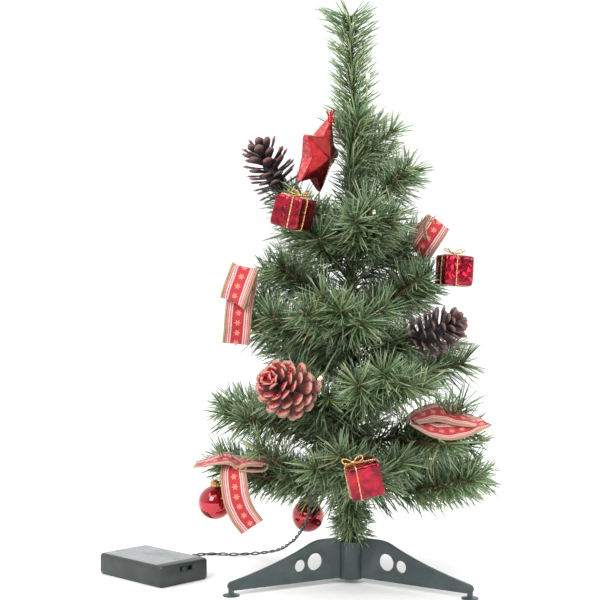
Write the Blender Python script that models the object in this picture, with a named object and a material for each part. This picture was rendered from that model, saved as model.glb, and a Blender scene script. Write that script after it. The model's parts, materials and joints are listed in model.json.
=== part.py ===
"""Artificial tabletop tree on a three-legged stand, with decorations, a light string and its battery case.

Metres, +Z up. The origin is the middle of the hub's flat underside, on the trunk's axis. The front is -Y.
"""

import math

import bmesh
import bpy
from mathutils import Euler, Matrix, Vector

GAP = 0.0003  # between pieces that touch
PAST = 0.0020  # how far a cutting shape reaches out of the surface it opens
FLOOR = -0.0034  # the feet stand this far below the hub's underside

# Stand
HUB_RADIUS = 0.0105
HUB_HEIGHT = 0.0305
HUB_EDGE = 0.0006
HUB_FLOOR = 0.0009  # under the legs' tongues
SOCKET_FLOOR = 0.0030
LEG_DIRECTIONS = {"leg_left": 207.0, "leg_right": -33.0, "leg_rear": 87.0}
LEG_REACH = 0.1082
LEG_CREST = 0.0027  # the leg's flat top is this far above the hub's top
LEG_SHELF = 0.0010  # the part in the hub ends this far below the hub's top
LEG_UNDERSIDE = 0.0012
LEG_PLATE = 0.0030
LEG_SHOULDER = 0.0250  # where the flat top ends, from the axis
LEG_BEND = (0.0330, 0.0400)  # the bend's control point and its end, from the axis
LEG_BEND_DROP = 0.0040
LEG_HOLLOW = (0.61, 0.50)  # the slope's control point, in shares of the reach and of the height
LEG_TIP_RADIUS = 0.0034
LEG_TIP_OVER_FOOT = 0.0006  # how far the round tip reaches below the leg's underside
TONGUE_INNER = 0.0064  # the tongue that holds a leg in the hub, from the axis
TONGUE_DEPTH = 0.0020
TONGUE_WIDTH = 0.0062
LARGE_HOLE = (0.0330, 0.0160, 0.0069)  # from the axis, height, radius
SMALL_HOLE = (0.0462, 0.0140, 0.0049)
FOOT_RADIUS = 0.0065
FOOT_PAD = 0.0015
FOOT_NECK_RADIUS = 0.0022
FOOT_ROOT = 0.0010  # how far the neck goes up into the leg
FOOT_INSET = 0.0028  # the foot's axis, in from the leg's tip

# Trunk
POLE_RADIUS = 0.0035
POLE_TOP = 0.3400
LEADER_TOP = 0.4642
LEADER_RADIUS = 0.0085

# Branches: direction in degrees from +X, root height, tilt in degrees, length along the branch
STEM_RADIUS = 0.0015
EYE_RADIUS = 0.0017  # the round root that turns where it is bound to the pole
BUSH_RADIUS = 0.0068  # the needled part
BARE_STEM = 0.0180
BRANCHES = {
    "branch_01": (128.0, 0.0636, 9.0, 0.0980),
    "branch_02": (-7.0, 0.0670, 9.0, 0.1080),
    "branch_03": (-174.8, 0.0740, 7.0, 0.1060),
    "branch_04": (52.0, 0.0790, 9.0, 0.1000),
    "branch_05": (-87.4, 0.0850, 6.1, 0.0815),
    "branch_06": (98.0, 0.0950, 11.0, 0.0980),
    "branch_07": (-22.0, 0.1080, 10.0, 0.1000),
    "branch_08": (166.0, 0.1180, 11.0, 0.1060),
    "branch_09": (-123.7, 0.1230, 21.7, 0.0765),
    "branch_10": (-67.0, 0.1370, 17.0, 0.0960),
    "branch_11": (24.0, 0.1500, 18.0, 0.0960),
    "branch_12": (118.0, 0.1560, 20.0, 0.0920),
    "branch_13": (-29.5, 0.1680, 24.3, 0.0575),
    "branch_14": (176.0, 0.1790, 22.0, 0.0900),
    "branch_15": (-98.0, 0.1850, 24.0, 0.0840),
    "branch_16": (66.0, 0.1970, 27.0, 0.0830),
    "branch_17": (0.0, 0.2110, 25.3, 0.0680),
    "branch_18": (150.0, 0.2160, 29.0, 0.0800),
    "branch_19": (28.0, 0.2390, 34.0, 0.0780),
    "branch_20": (-134.0, 0.2450, 37.5, 0.0585),
    "branch_21": (-74.0, 0.2530, 36.0, 0.0680),
    "branch_22": (96.0, 0.2600, 37.0, 0.0670),
    "branch_23": (-171.3, 0.2690, 38.0, 0.0630),
    "branch_24": (-22.0, 0.2960, 32.0, 0.0570),
    "branch_25": (62.0, 0.3080, 45.0, 0.0560),
}

# Decorations
GIFT_SIDE = 0.0252
GIFT_EDGE = 0.0012
GIFT_CORNER = 1.45  # how far the middle lies past the tip, in half sides, so that a turned box clears it
GIFTS = {  # the branch that each is wired to, and how it is turned in degrees
    "gift_front": ("branch_05", (8.0, -12.0, 6.0)),
    "gift_right": ("branch_17", (0.0, 4.0, 14.0)),
    "gift_left": ("branch_20", (0.0, 6.0, -28.0)),
}
CONES = {  # the branch, the length, the radius and how many degrees it stands above the branch
    "cone_front": ("branch_09", 0.0400, 0.0225, 0.0),
    "cone_right": ("branch_13", 0.0420, 0.0180, 0.0),
    "cone_left": ("branch_23", 0.0440, 0.0195, 26.0),
}
BAUBLE_RADIUS = 0.0136
CAP_RADIUS = 0.0038
CAP_HEIGHT = 0.0040
LOOP_LENGTH = 0.0040
LOOP_RADIUS = 0.0007
BAUBLES = {  # the branch, the distance along it, and how far the loop's top hangs below the branch's axis
    "bauble_left": ("branch_03", 0.1045, 0.0030),
    "bauble_rear": ("branch_01", 0.0510, 0.0080),
}
STAR_RADIUS = 0.0325
STAR_INNER = 0.0150
STAR_DEPTH = 0.0095
STAR_HANG = (-0.0172, -0.0240, 0.3690)
STAR_TURN = (15.1, 7.9, 63.0)
RIBBON_DEPTH = 0.0070
RIBBON_KNOT = 0.0050  # half its side
RIBBON_CLEAR = 0.0013  # between a knot and its branch's needled part
RIBBONS = {  # the branch, the share of it where the bow is, the front face and the knot's height from there
    "ribbon_left_low": ("branch_03", 0.807, -0.0248, 0.0091),
    "ribbon_left_high": ("branch_14", 0.956, -0.0259, 0.0128),
    "ribbon_right_high": ("branch_19", 1.0, -0.0195, 0.0012),
    "ribbon_right_low": ("branch_07", 0.755, -0.0231, 0.0079),
}
RIBBON_OUTLINES = {  # seen from the front, from the same place
    "ribbon_left_low": [
        (-0.0360, 0.0106), (-0.0140, 0.0181), (0.0140, 0.0136), (0.0140, 0.0081), (0.0040, 0.0021),
        (0.0085, -0.0129), (0.0200, -0.0349), (0.0030, -0.0419), (-0.0090, -0.0289), (-0.0160, -0.0129),
        (-0.0100, 0.0036), (-0.0230, 0.0061), (-0.0360, 0.0081),
    ],
    "ribbon_left_high": [
        (-0.0182, 0.0383), (0.0097, 0.0398), (0.0089, 0.0128), (0.0010, -0.0232), (-0.0182, -0.0192),
        (-0.0206, 0.0128),
    ],
    "ribbon_right_high": [
        (-0.0060, 0.0094), (0.0070, 0.0119), (0.0160, -0.0066), (0.0070, -0.0206), (-0.0045, -0.0226),
        (-0.0080, -0.0076),
    ],
    "ribbon_right_low": [
        (-0.0324, 0.0149), (-0.0140, 0.0224), (0.0100, 0.0189), (0.0310, 0.0079), (0.0260, 0.0024),
        (0.0100, 0.0004), (-0.0080, -0.0036), (-0.0260, 0.0029),
    ],
}

# Battery case, in its own frame: x along it, y across it, z up from the floor. Its three sides follow
# from the cells.
GROMMET_SPOT = (-0.16053, 0.05332)  # where the lead leaves the case, in the part's frame
CASE_TURN = -43.7
CASE_ROUND = 0.0030
CASE_WALL = 0.0018
CASE_FLOOR = 0.0011
COVER_START = 0.0025
COVER_MARGIN = 0.0025
COVER_OVER_SWITCH = 0.0017  # how far the cover reaches over the switch bay
COVER_PLATE = 0.0018
COVER_EDGE = 0.0004
CELL_RADIUS = 0.00705
CELL_LENGTH = 0.0505
CELL_SPACING = 0.0006
CELL_SIDE_ROOM = 0.00105
CELL_BUTTON_RADIUS = 0.0027
CELL_BUTTON_HEIGHT = 0.0012
BAY_START = 0.0085
CONTACT_PLATE = 0.0006
SPRING_LENGTH = 0.0034
SPRING_RADIUS = 0.0030
SWITCH_POST = 0.0055  # the wall between the cell bay and the switch bay
SWITCH_BAY = 0.0079
SCREW_INSET = 0.0027  # from the cell bay
SCREWS = {"cover_screw_1": 0.34, "cover_screw_2": 0.54}  # shares of the case's width
SCREW_RADIUS = 0.0011
SCREW_POINT = 0.0010
SCREW_HEAD = 0.0026
SCREW_HEAD_DEPTH = 0.0009
SCREW_LENGTH = 0.0080
SLOT_ASIDE = 0.0012  # from the middle of the case's end
SLOT_BELOW_COVER = 0.0031
SLOT_LENGTH = 0.0130
SLOT_HEIGHT = 0.0038
KNOB_WIDTH = 0.0042
KNOB_STANDS_OUT = 0.0012
KNOB_FLANGE = 0.0010  # how thick the flange behind the wall is
KNOB_FLANGE_SIDE = 0.0010
KNOB_FLANGE_RISE = 0.0008
SWITCH_TRAVEL = 0.0060
SWITCH_BODY_HALF = 0.0080
SWITCH_BODY_BELOW = 0.0030
BOARD = 0.0012
BOARD_MARGIN = 0.0060
GROMMET_ALONG = 0.0180
GROMMET_UP = 0.0080
GROMMET_LENGTH = 0.0055
GROMMET_RADIUS = 0.0026
GROMMET_FLANGE = 0.0014
GROMMET_NECK = 0.65  # the neck's share of the radius

# Light string and lead
STRING_RADIUS = 0.0009
STRING_PITCH = -0.0975  # it winds clockwise seen from above
STRING_START = (-110.0, 0.1070)
STRING_END = 0.3300
STRING_STEP = 0.0030
LEAD_RADIUS = 0.0013
LEAD_STRAIGHT = 0.0030  # how far the lead runs straight at each end
LEAD_STEP = 0.0052
LEAD_ROUTE = [
    (-0.1530, 0.0608, 0.0040),
    (-0.1478, 0.0680, 0.0012),
    (-0.1424, 0.0780, -0.0012),
    (-0.1374, 0.0900, -0.0020),
    (-0.1305, 0.1000, -0.0020),
    (-0.1180, 0.1034, -0.0020),
    (-0.1030, 0.1010, -0.0020),
    (-0.0880, 0.0980, -0.0010),
    (-0.0750, 0.0920, 0.0012),
    (-0.0640, 0.0815, 0.0050),
    (-0.0552, 0.0640, 0.0118),
    (-0.0492, 0.0470, 0.0190),
    (-0.0446, 0.0320, 0.0260),
    (-0.0402, 0.0180, 0.0345),
    (-0.0364, 0.0060, 0.0435),
    (-0.0342, -0.0060, 0.0535),
    (-0.0333, -0.0170, 0.0640),
    (-0.0326, -0.0270, 0.0748),
    (-0.0306, -0.0335, 0.0850),
    (-0.0250, -0.0325, 0.0935),
    (-0.0165, -0.0245, 0.0972),
    (-0.0090, -0.0160, 0.0985),
    (-0.0037, -0.0090, 0.1005),
]


def material(name, colour, roughness, metallic=0.0):
    made = bpy.data.materials.new(name)
    made.use_nodes = True
    shader = made.node_tree.nodes["Principled BSDF"]
    shader.inputs["Base Color"].default_value = (*colour, 1.0)
    shader.inputs["Roughness"].default_value = roughness
    shader.inputs["Metallic"].default_value = metallic
    return made


def add_object(name, mesh, finish=None, parent=None):
    thing = bpy.data.objects.new(name, mesh)
    bpy.context.scene.collection.objects.link(thing)
    if finish:
        mesh.materials.append(finish)
    thing.parent = parent
    return thing


def add_empty(name, place, turn=(0.0, 0.0, 0.0), parent=None):
    thing = add_object(name, None, parent=parent)
    thing.location = place
    thing.rotation_euler = Euler([math.radians(angle) for angle in turn])
    return thing


def smooth(mesh, angle=40.0):
    mesh.shade_smooth()
    mesh.set_sharp_from_angle(angle=math.radians(angle))


def mesh_of(name, build, smooth_angle=None):
    """A mesh from a function that fills a bmesh, with its faces pointing out."""
    shape = bmesh.new()
    build(shape)
    bmesh.ops.recalc_face_normals(shape, faces=shape.faces)
    mesh = bpy.data.meshes.new(name)
    shape.to_mesh(mesh)
    shape.free()
    if smooth_angle:
        smooth(mesh, smooth_angle)
    return mesh


def box_mesh(name, low, high, edge=0.0, segments=2):
    """A box between two corners, its edges rounded by a radius."""

    def build(shape):
        size = Vector(high) - Vector(low)
        middle = (Vector(high) + Vector(low)) / 2
        placed = Matrix.Translation(middle) @ Matrix.Diagonal((*size, 1.0))
        bmesh.ops.create_cube(shape, size=1.0, matrix=placed)
        if edge:
            bmesh.ops.bevel(
                shape, geom=shape.edges[:], offset=edge, segments=segments, profile=0.5, affect="EDGES"
            )

    return mesh_of(name, build, 40.0 if edge else None)


def turned_mesh(name, profile, sides, smooth_angle=40.0):
    """A solid turned about Z from (radius, height) pairs, the first and last on the axis."""

    def build(shape):
        points = [shape.verts.new((radius, 0.0, height)) for radius, height in profile]
        edges = [shape.edges.new(pair) for pair in zip(points, points[1:])]
        bmesh.ops.spin(
            shape, geom=points + edges, axis=(0, 0, 1), cent=(0, 0, 0), angle=math.tau, steps=sides,
            use_merge=True, use_duplicate=False,
        )
        bmesh.ops.remove_doubles(shape, verts=shape.verts[:], dist=1e-6)

    return mesh_of(name, build, smooth_angle)


def plate_mesh(name, outline, thickness):
    """A plate from an outline in X and Z, centred on Y = 0."""

    def build(shape):
        face = shape.faces.new([shape.verts.new((x, -thickness / 2, z)) for x, z in outline])
        grown = bmesh.ops.extrude_face_region(shape, geom=[face])
        moved = [item for item in grown["geom"] if isinstance(item, bmesh.types.BMVert)]
        bmesh.ops.translate(shape, verts=moved, vec=(0.0, thickness, 0.0))

    return mesh_of(name, build)


def helper(name, mesh, parent=None):
    """A shape that only cuts or joins another."""
    thing = add_object(name, mesh, parent=parent)
    thing.hide_render = True
    thing.display_type = "WIRE"
    return thing


def boolean(target, other, operation):
    step = target.modifiers.new(other.name, "BOOLEAN")
    step.operation = operation
    step.object = other


def curve_points(start, control, end, count):
    """Points on a curve from start to end that bends towards one control point, without its start."""
    found = []
    for step in range(1, count + 1):
        t = step / count
        shares = ((1 - t) ** 2, 2 * t * (1 - t), t * t)
        found.append(tuple(sum(map(math.prod, zip(shares, place))) for place in zip(start, control, end)))
    return found


def heading(degrees):
    return Vector((math.cos(math.radians(degrees)), math.sin(math.radians(degrees)), 0.0))


# Stand


def add_hub(plastic):
    outer, inner = HUB_RADIUS, POLE_RADIUS + GAP
    profile = [
        (0.0, 0.0), (outer - HUB_EDGE, 0.0), (outer, HUB_EDGE), (outer, HUB_HEIGHT - HUB_EDGE),
        (outer - HUB_EDGE, HUB_HEIGHT), (inner, HUB_HEIGHT), (inner, SOCKET_FLOOR), (0.0, SOCKET_FLOOR),
    ]
    hub = add_object("hub", turned_mesh("hub", profile, 36), plastic)
    near, top = TONGUE_INNER - GAP, HUB_HEIGHT + PAST
    for name, direction in LEG_DIRECTIONS.items():
        half = LEG_PLATE / 2 + GAP
        slot = helper(
            "slot_for_" + name, box_mesh("slot", (near, -half, HUB_FLOOR), (outer + PAST, half, top))
        )
        half = TONGUE_WIDTH / 2 + GAP
        far = TONGUE_INNER + TONGUE_DEPTH + GAP
        wide = helper(
            "tongue_slot_for_" + name, box_mesh("tongue_slot", (near, -half, HUB_FLOOR), (far, half, top))
        )
        for cutter in (slot, wide):
            cutter.rotation_euler.z = math.radians(direction)
            boolean(hub, cutter, "DIFFERENCE")


def leg_outline():
    """The leg's side view: a flat shoulder, a long hollowed slope and a round tip over the foot."""
    height = HUB_HEIGHT + LEG_CREST
    shelf = HUB_HEIGHT - LEG_SHELF
    tip_z = LEG_UNDERSIDE - LEG_TIP_OVER_FOOT + LEG_TIP_RADIUS
    tip_r = LEG_REACH - LEG_TIP_RADIUS
    inner = TONGUE_INNER + TONGUE_DEPTH / 2
    shoulder = (LEG_SHOULDER, height)
    bend_end = (LEG_BEND[1], height - LEG_BEND_DROP)
    hollow = (LEG_REACH * LEG_HOLLOW[0], height * LEG_HOLLOW[1])
    slope_end = (tip_r + LEG_TIP_RADIUS * 0.30, tip_z + LEG_TIP_RADIUS * 0.95)
    outline = [(inner, LEG_UNDERSIDE), (inner, shelf), (HUB_RADIUS + 4 * GAP, shelf)]
    outline += [(HUB_RADIUS + 4 * GAP + LEG_SHELF, height), shoulder]
    outline += curve_points(shoulder, (LEG_BEND[0], height), bend_end, 5)
    outline += curve_points(bend_end, hollow, slope_end, 6)
    for degrees in (40, 10, -20, -50, -75):
        angle = math.radians(degrees)
        outline.append((tip_r + LEG_TIP_RADIUS * math.cos(angle), tip_z + LEG_TIP_RADIUS * math.sin(angle)))
    outline.append((tip_r - FOOT_NECK_RADIUS, tip_z - LEG_TIP_RADIUS))
    return outline


def add_leg(name, direction, plastic):
    leg = add_object(name, plate_mesh(name, leg_outline(), LEG_PLATE), plastic)
    half = TONGUE_WIDTH / 2
    far = TONGUE_INNER + TONGUE_DEPTH
    top = HUB_HEIGHT - LEG_SHELF
    tongue_mesh = box_mesh("tongue", (TONGUE_INNER, -half, LEG_UNDERSIDE), (far, half, top))
    tongue = helper(name + "_tongue", tongue_mesh, leg)
    neck_top = LEG_UNDERSIDE + FOOT_ROOT
    foot_profile = [
        (0.0, FLOOR), (FOOT_RADIUS, FLOOR), (FOOT_RADIUS, FLOOR + FOOT_PAD * 0.6),
        (FOOT_NECK_RADIUS, FLOOR + FOOT_PAD), (FOOT_NECK_RADIUS, neck_top), (0.0, neck_top),
    ]
    foot = helper(name + "_foot", turned_mesh("foot", foot_profile, 20), leg)
    foot.location.x = LEG_REACH - FOOT_INSET
    for part in (tongue, foot):
        boolean(leg, part, "UNION")
    for label, (along, height, radius) in (("large", LARGE_HOLE), ("small", SMALL_HOLE)):
        profile = [(0.0, -LEG_PLATE), (radius, -LEG_PLATE), (radius, LEG_PLATE), (0.0, LEG_PLATE)]
        hole = helper(f"{name}_{label}_hole", turned_mesh("hole", profile, 24), leg)
        hole.location = (along, 0.0, height)
        hole.rotation_euler.x = math.pi / 2
        boolean(leg, hole, "DIFFERENCE")
    leg.rotation_euler.z = math.radians(direction)


# Trunk and branches


def add_trunk(wrapped, needles):
    foot = SOCKET_FLOOR + GAP
    pole = [(0.0, foot), (POLE_RADIUS, foot), (POLE_RADIUS, POLE_TOP), (0.0, POLE_TOP)]
    add_object("trunk_pole", turned_mesh("trunk_pole", pole, 16), wrapped)
    low = POLE_TOP + GAP
    rise = LEADER_TOP - low
    leader = [
        (0.0, low), (POLE_RADIUS, low), (LEADER_RADIUS * 0.8, low + rise * 0.12),
        (LEADER_RADIUS, low + rise * 0.35), (LEADER_RADIUS * 0.85, low + rise * 0.75),
        (LEADER_RADIUS * 0.4, low + rise * 0.95), (0.0, LEADER_TOP),
    ]
    add_object("leader", turned_mesh("leader", leader, 12), needles)


def root_of(branch):
    direction, height, _, _ = BRANCHES[branch]
    return heading(direction) * (POLE_RADIUS + GAP + EYE_RADIUS) + Vector((0.0, 0.0, height))


def aim_of(branch, above=0.0):
    """The branch's own direction, or one some degrees above it."""
    direction, _, tilt, _ = BRANCHES[branch]
    tilt = math.radians(tilt + above)
    return heading(direction) * math.cos(tilt) + Vector((0.0, 0.0, math.sin(tilt)))


def past_tip(branch, distance):
    """A point beyond the branch's tip, on its line."""
    return root_of(branch) + aim_of(branch) * (BRANCHES[branch][3] + distance)


def facing(branch, above=0.0):
    """The turn that lays an object's Z along the branch, or some degrees above it."""
    return aim_of(branch, above).to_track_quat("Z", "Y").to_euler()


def add_branch(name, needles):
    length = BRANCHES[name][3]
    bush = length - BARE_STEM
    profile = [
        (0.0, -EYE_RADIUS), (EYE_RADIUS * 0.8, -EYE_RADIUS * 0.6), (EYE_RADIUS, 0.0),
        (STEM_RADIUS, EYE_RADIUS), (STEM_RADIUS, BARE_STEM), (BUSH_RADIUS * 0.75, BARE_STEM + bush * 0.25),
        (BUSH_RADIUS, BARE_STEM + bush * 0.55), (BUSH_RADIUS * 0.85, BARE_STEM + bush * 0.8),
        (STEM_RADIUS, BARE_STEM + bush * 0.96), (0.0, length),
    ]
    branch = add_object(name, turned_mesh(name, profile, 10), needles)
    branch.location = root_of(name)
    branch.rotation_euler = facing(name)


# Decorations


def add_gift(name, branch, turn, foil):
    half = GIFT_SIDE / 2
    gift = add_object(name, box_mesh(name, (-half,) * 3, (half,) * 3, GIFT_EDGE), foil)
    gift.location = past_tip(branch, half * GIFT_CORNER)
    gift.rotation_euler = Euler([math.radians(angle) for angle in turn])


def add_cone(name, branch, length, radius, above, scales):
    profile = [
        (0.0, 0.0), (radius * 0.45, 0.0), (radius * 0.85, length * 0.12), (radius, length * 0.32),
        (radius * 0.92, length * 0.55), (radius * 0.62, length * 0.80), (radius * 0.25, length * 0.97),
        (0.0, length),
    ]
    cone = add_object(name, turned_mesh(name, profile, 14), scales)
    cone.location = past_tip(branch, 2 * GAP if above else GAP)
    cone.rotation_euler = facing(branch, above)


def add_bauble(name, branch, along, below, glossy, gold):
    """A ball under its cap, hung from the loop's top, which is where it swings."""
    pivot = root_of(branch) + aim_of(branch) * along - Vector((0.0, 0.0, below))
    swing = add_empty(name + "_swing", pivot)
    cap_low = -LOOP_LENGTH - CAP_HEIGHT
    centre = cap_low - math.sqrt(BAUBLE_RADIUS**2 - CAP_RADIUS**2) - GAP
    rings = 9
    flat = math.asin(CAP_RADIUS / BAUBLE_RADIUS)
    angles = [math.pi - step * (math.pi - flat) / rings for step in range(rings + 1)]
    ball = [
        (BAUBLE_RADIUS * math.sin(angle), centre + BAUBLE_RADIUS * math.cos(angle)) for angle in angles
    ]
    ball[0] = (0.0, centre - BAUBLE_RADIUS)
    ball.append((0.0, ball[-1][1]))
    add_object(name, turned_mesh(name, ball, 20), glossy, swing)
    cap = [
        (0.0, cap_low), (CAP_RADIUS, cap_low), (CAP_RADIUS * 0.9, cap_low + CAP_HEIGHT),
        (LOOP_RADIUS, cap_low + CAP_HEIGHT), (LOOP_RADIUS, -LOOP_RADIUS), (0.0, -LOOP_RADIUS),
    ]
    add_object(name + "_cap", turned_mesh(name + "_cap", cap, 16), gold, swing)


def add_star(foil):
    """A solid star with five points, ridged on both sides, hung by one point."""

    def build(shape):
        rim = []
        for step in range(10):
            angle = math.radians(90 + 36 * step)
            radius = STAR_RADIUS if step % 2 == 0 else STAR_INNER
            height = radius * math.sin(angle) - STAR_RADIUS
            rim.append(shape.verts.new((radius * math.cos(angle), 0.0, height)))
        for side in (-1, 1):
            peak = shape.verts.new((0.0, side * STAR_DEPTH, -STAR_RADIUS))
            for first, second in zip(rim, rim[1:] + rim[:1]):
                shape.faces.new((first, second, peak))

    star = add_object("star", mesh_of("star", build), foil, add_empty("star_swing", STAR_HANG))
    star.location.z = -GAP
    star.rotation_euler = Euler([math.radians(angle) for angle in STAR_TURN])


def add_ribbon(name, branch, share, front, knot_up, cloth):
    """A bow seen from the front: its outline as a slab, and the knot that reaches back to the branch."""
    ribbon = add_object(name, plate_mesh(name, RIBBON_OUTLINES[name], RIBBON_DEPTH), cloth)
    ribbon.location = root_of(branch) + aim_of(branch) * BRANCHES[branch][3] * share
    middle = front + RIBBON_DEPTH / 2
    ribbon.location.y += middle
    half = RIBBON_KNOT
    back = -BUSH_RADIUS - RIBBON_CLEAR - middle
    low = (-half, -RIBBON_DEPTH / 4, knot_up - half)
    block = helper(name + "_knot", box_mesh("knot", low, (half, back, knot_up + half)), ribbon)
    boolean(ribbon, block, "UNION")


# Battery case


def cell_pitch():
    return 2 * CELL_RADIUS + CELL_SPACING


def bay_end():
    """Where the cell bay ends: two contact strips, a cell and a spring, with a gap at each."""
    return BAY_START + 2 * CONTACT_PLATE + CELL_LENGTH + SPRING_LENGTH + 4 * GAP


def switch_bay_start():
    return bay_end() + SWITCH_POST


def case_size():
    """Length, width and height round three cells side by side, the switch bay and the cover."""
    width = 2 * (COVER_MARGIN - GAP + CELL_SIDE_ROOM + CELL_RADIUS + cell_pitch())
    height = CASE_FLOOR + 2 * CELL_RADIUS + 2 * GAP + COVER_PLATE
    return switch_bay_start() + SWITCH_BAY + CASE_WALL, width, height


def screw_places():
    """Along and across the case: one screw at each end of the cell bay."""
    width = case_size()[1]
    along = (BAY_START - SCREW_INSET, bay_end() + SCREW_INSET)
    return {name: (x, width * share) for x, (name, share) in zip(along, SCREWS.items())}


def slot_centre():
    """Across the case and up."""
    _, width, height = case_size()
    return width / 2 + SLOT_ASIDE, height - COVER_PLATE - GAP - SLOT_BELOW_COVER


def in_case(x, y, z):
    """A point of the battery case's own frame, in the part's frame."""
    from_grommet = Vector((x - GROMMET_ALONG, y - case_size()[1], z))
    turned = Matrix.Rotation(math.radians(CASE_TURN), 3, "Z") @ from_grommet
    return turned + Vector((*GROMMET_SPOT, FLOOR))


def add_case(frame, plastic):
    length, width, height = case_size()
    ledge = height - COVER_PLATE - GAP
    near, far, top = COVER_MARGIN - GAP, width - COVER_MARGIN + GAP, height + PAST
    case_mesh = box_mesh("battery_case", (0, 0, 0), (length, width, height), CASE_ROUND, 3)
    case = add_object("battery_case", case_mesh, plastic, frame)
    slot_y, slot_z = slot_centre()
    cover_far = switch_bay_start() + COVER_OVER_SWITCH + GAP
    slot_near = slot_y - SLOT_LENGTH / 2
    slot_far = slot_y + SLOT_LENGTH / 2
    hollows = {
        "cover_recess": ((COVER_START - GAP, near, ledge), (cover_far, far, top)),
        "cell_bay": ((BAY_START, near, CASE_FLOOR), (bay_end(), far, top)),
        "switch_bay": ((switch_bay_start(), near, CASE_FLOOR), (length - CASE_WALL, far, ledge + GAP / 3)),
        "switch_slot": (
            (length - CASE_WALL - PAST, slot_near, slot_z - SLOT_HEIGHT / 2),
            (length + PAST, slot_far, slot_z + SLOT_HEIGHT / 2),
        ),
    }
    for name, (low, high) in hollows.items():
        boolean(case, helper(name, box_mesh(name, low, high), frame), "DIFFERENCE")
    for name, (x, y) in screw_places().items():
        radius = SCREW_RADIUS + GAP
        profile = [(0.0, 0.0), (radius, 0.0), (radius, height), (0.0, height)]
        bore = helper(name + "_bore", turned_mesh("bore", profile, 12), frame)
        bore.location = (x, y, ledge - SCREW_LENGTH)
        boolean(case, bore, "DIFFERENCE")
    radius = GROMMET_RADIUS * GROMMET_NECK + GAP
    deep = COVER_MARGIN + PAST
    profile = [(0.0, -deep), (radius, -deep), (radius, deep), (0.0, deep)]
    hole = helper("grommet_hole", turned_mesh("grommet_hole", profile, 16), frame)
    hole.location = (GROMMET_ALONG, width, GROMMET_UP)
    hole.rotation_euler.x = -math.pi / 2
    boolean(case, hole, "DIFFERENCE")


def add_cover(frame, plastic, steel):
    """The lift-off cover and the two screws that stay in it."""
    _, width, height = case_size()
    lift = add_empty("battery_cover_lift", (0.0, 0.0, 0.0), parent=frame)
    low = height - COVER_PLATE
    cover_end = switch_bay_start() + COVER_OVER_SWITCH
    corners = ((COVER_START, COVER_MARGIN, low), (cover_end, width - COVER_MARGIN, height))
    cover_mesh = box_mesh("battery_cover", *corners, COVER_EDGE, 1)
    cover = add_object("battery_cover", cover_mesh, plastic, lift)
    seat = height - SCREW_HEAD_DEPTH - GAP
    for name, (x, y) in screw_places().items():
        head, shank = SCREW_HEAD + GAP, SCREW_RADIUS + GAP
        profile = [
            (0.0, low - PAST), (shank, low - PAST), (shank, seat - GAP), (head, seat - GAP),
            (head, height + PAST), (0.0, height + PAST),
        ]
        hole = helper(name + "_hole", turned_mesh("screw_hole", profile, 16), lift)
        hole.location = (x, y, 0.0)
        boolean(cover, hole, "DIFFERENCE")
        end = low - SCREW_LENGTH + 2 * GAP
        screw_profile = [
            (0.0, end), (SCREW_RADIUS, end + SCREW_POINT), (SCREW_RADIUS, seat), (SCREW_HEAD, seat),
            (SCREW_HEAD * 0.85, seat + SCREW_HEAD_DEPTH), (0.0, seat + SCREW_HEAD_DEPTH),
        ]
        screw = add_object(name, turned_mesh(name, screw_profile, 14), steel, lift)
        screw.location = (x, y, 0.0)


def add_cells(frame, jacket, steel):
    middle = case_size()[1] / 2
    axis_z = CASE_FLOOR + GAP + CELL_RADIUS
    start = BAY_START + CONTACT_PLATE + 2 * GAP
    shoulder = CELL_LENGTH - CELL_BUTTON_HEIGHT
    for number in range(3):
        profile = [
            (0.0, 0.0), (CELL_RADIUS, 0.0), (CELL_RADIUS, shoulder), (CELL_BUTTON_RADIUS, shoulder),
            (CELL_BUTTON_RADIUS, CELL_LENGTH), (0.0, CELL_LENGTH),
        ]
        name = f"cell_{number + 1}"
        cell = add_object(name, turned_mesh(name, profile, 20), jacket, frame)
        flipped = number == 1
        foot = start + (CELL_LENGTH if flipped else 0.0)
        cell.location = (foot, middle + (number - 1) * cell_pitch(), axis_z)
        cell.rotation_euler.y = -math.pi / 2 if flipped else math.pi / 2
    reach = cell_pitch() + SPRING_RADIUS
    plate = bay_end() - GAP - CONTACT_PLATE
    strips = {}
    for name, x in (("flat_contacts", BAY_START + GAP), ("spring_contacts", plate)):
        low = (x, middle - reach, axis_z - SPRING_RADIUS)
        high = (x + CONTACT_PLATE, middle + reach, axis_z + SPRING_RADIUS)
        strips[name] = add_object(name, box_mesh(name, low, high), steel, frame)
    radius, length = SPRING_RADIUS, SPRING_LENGTH - GAP
    inside = CONTACT_PLATE / 2
    profile = [(0.0, -length), (radius * 0.6, -length), (radius, inside), (0.0, inside)]
    for number in range(3):
        spring = helper(f"spring_{number + 1}", turned_mesh("spring", profile, 12), frame)
        spring.location = (plate, middle + (number - 1) * cell_pitch(), axis_z)
        spring.rotation_euler.y = math.pi / 2
        boolean(strips["spring_contacts"], spring, "UNION")


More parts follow.
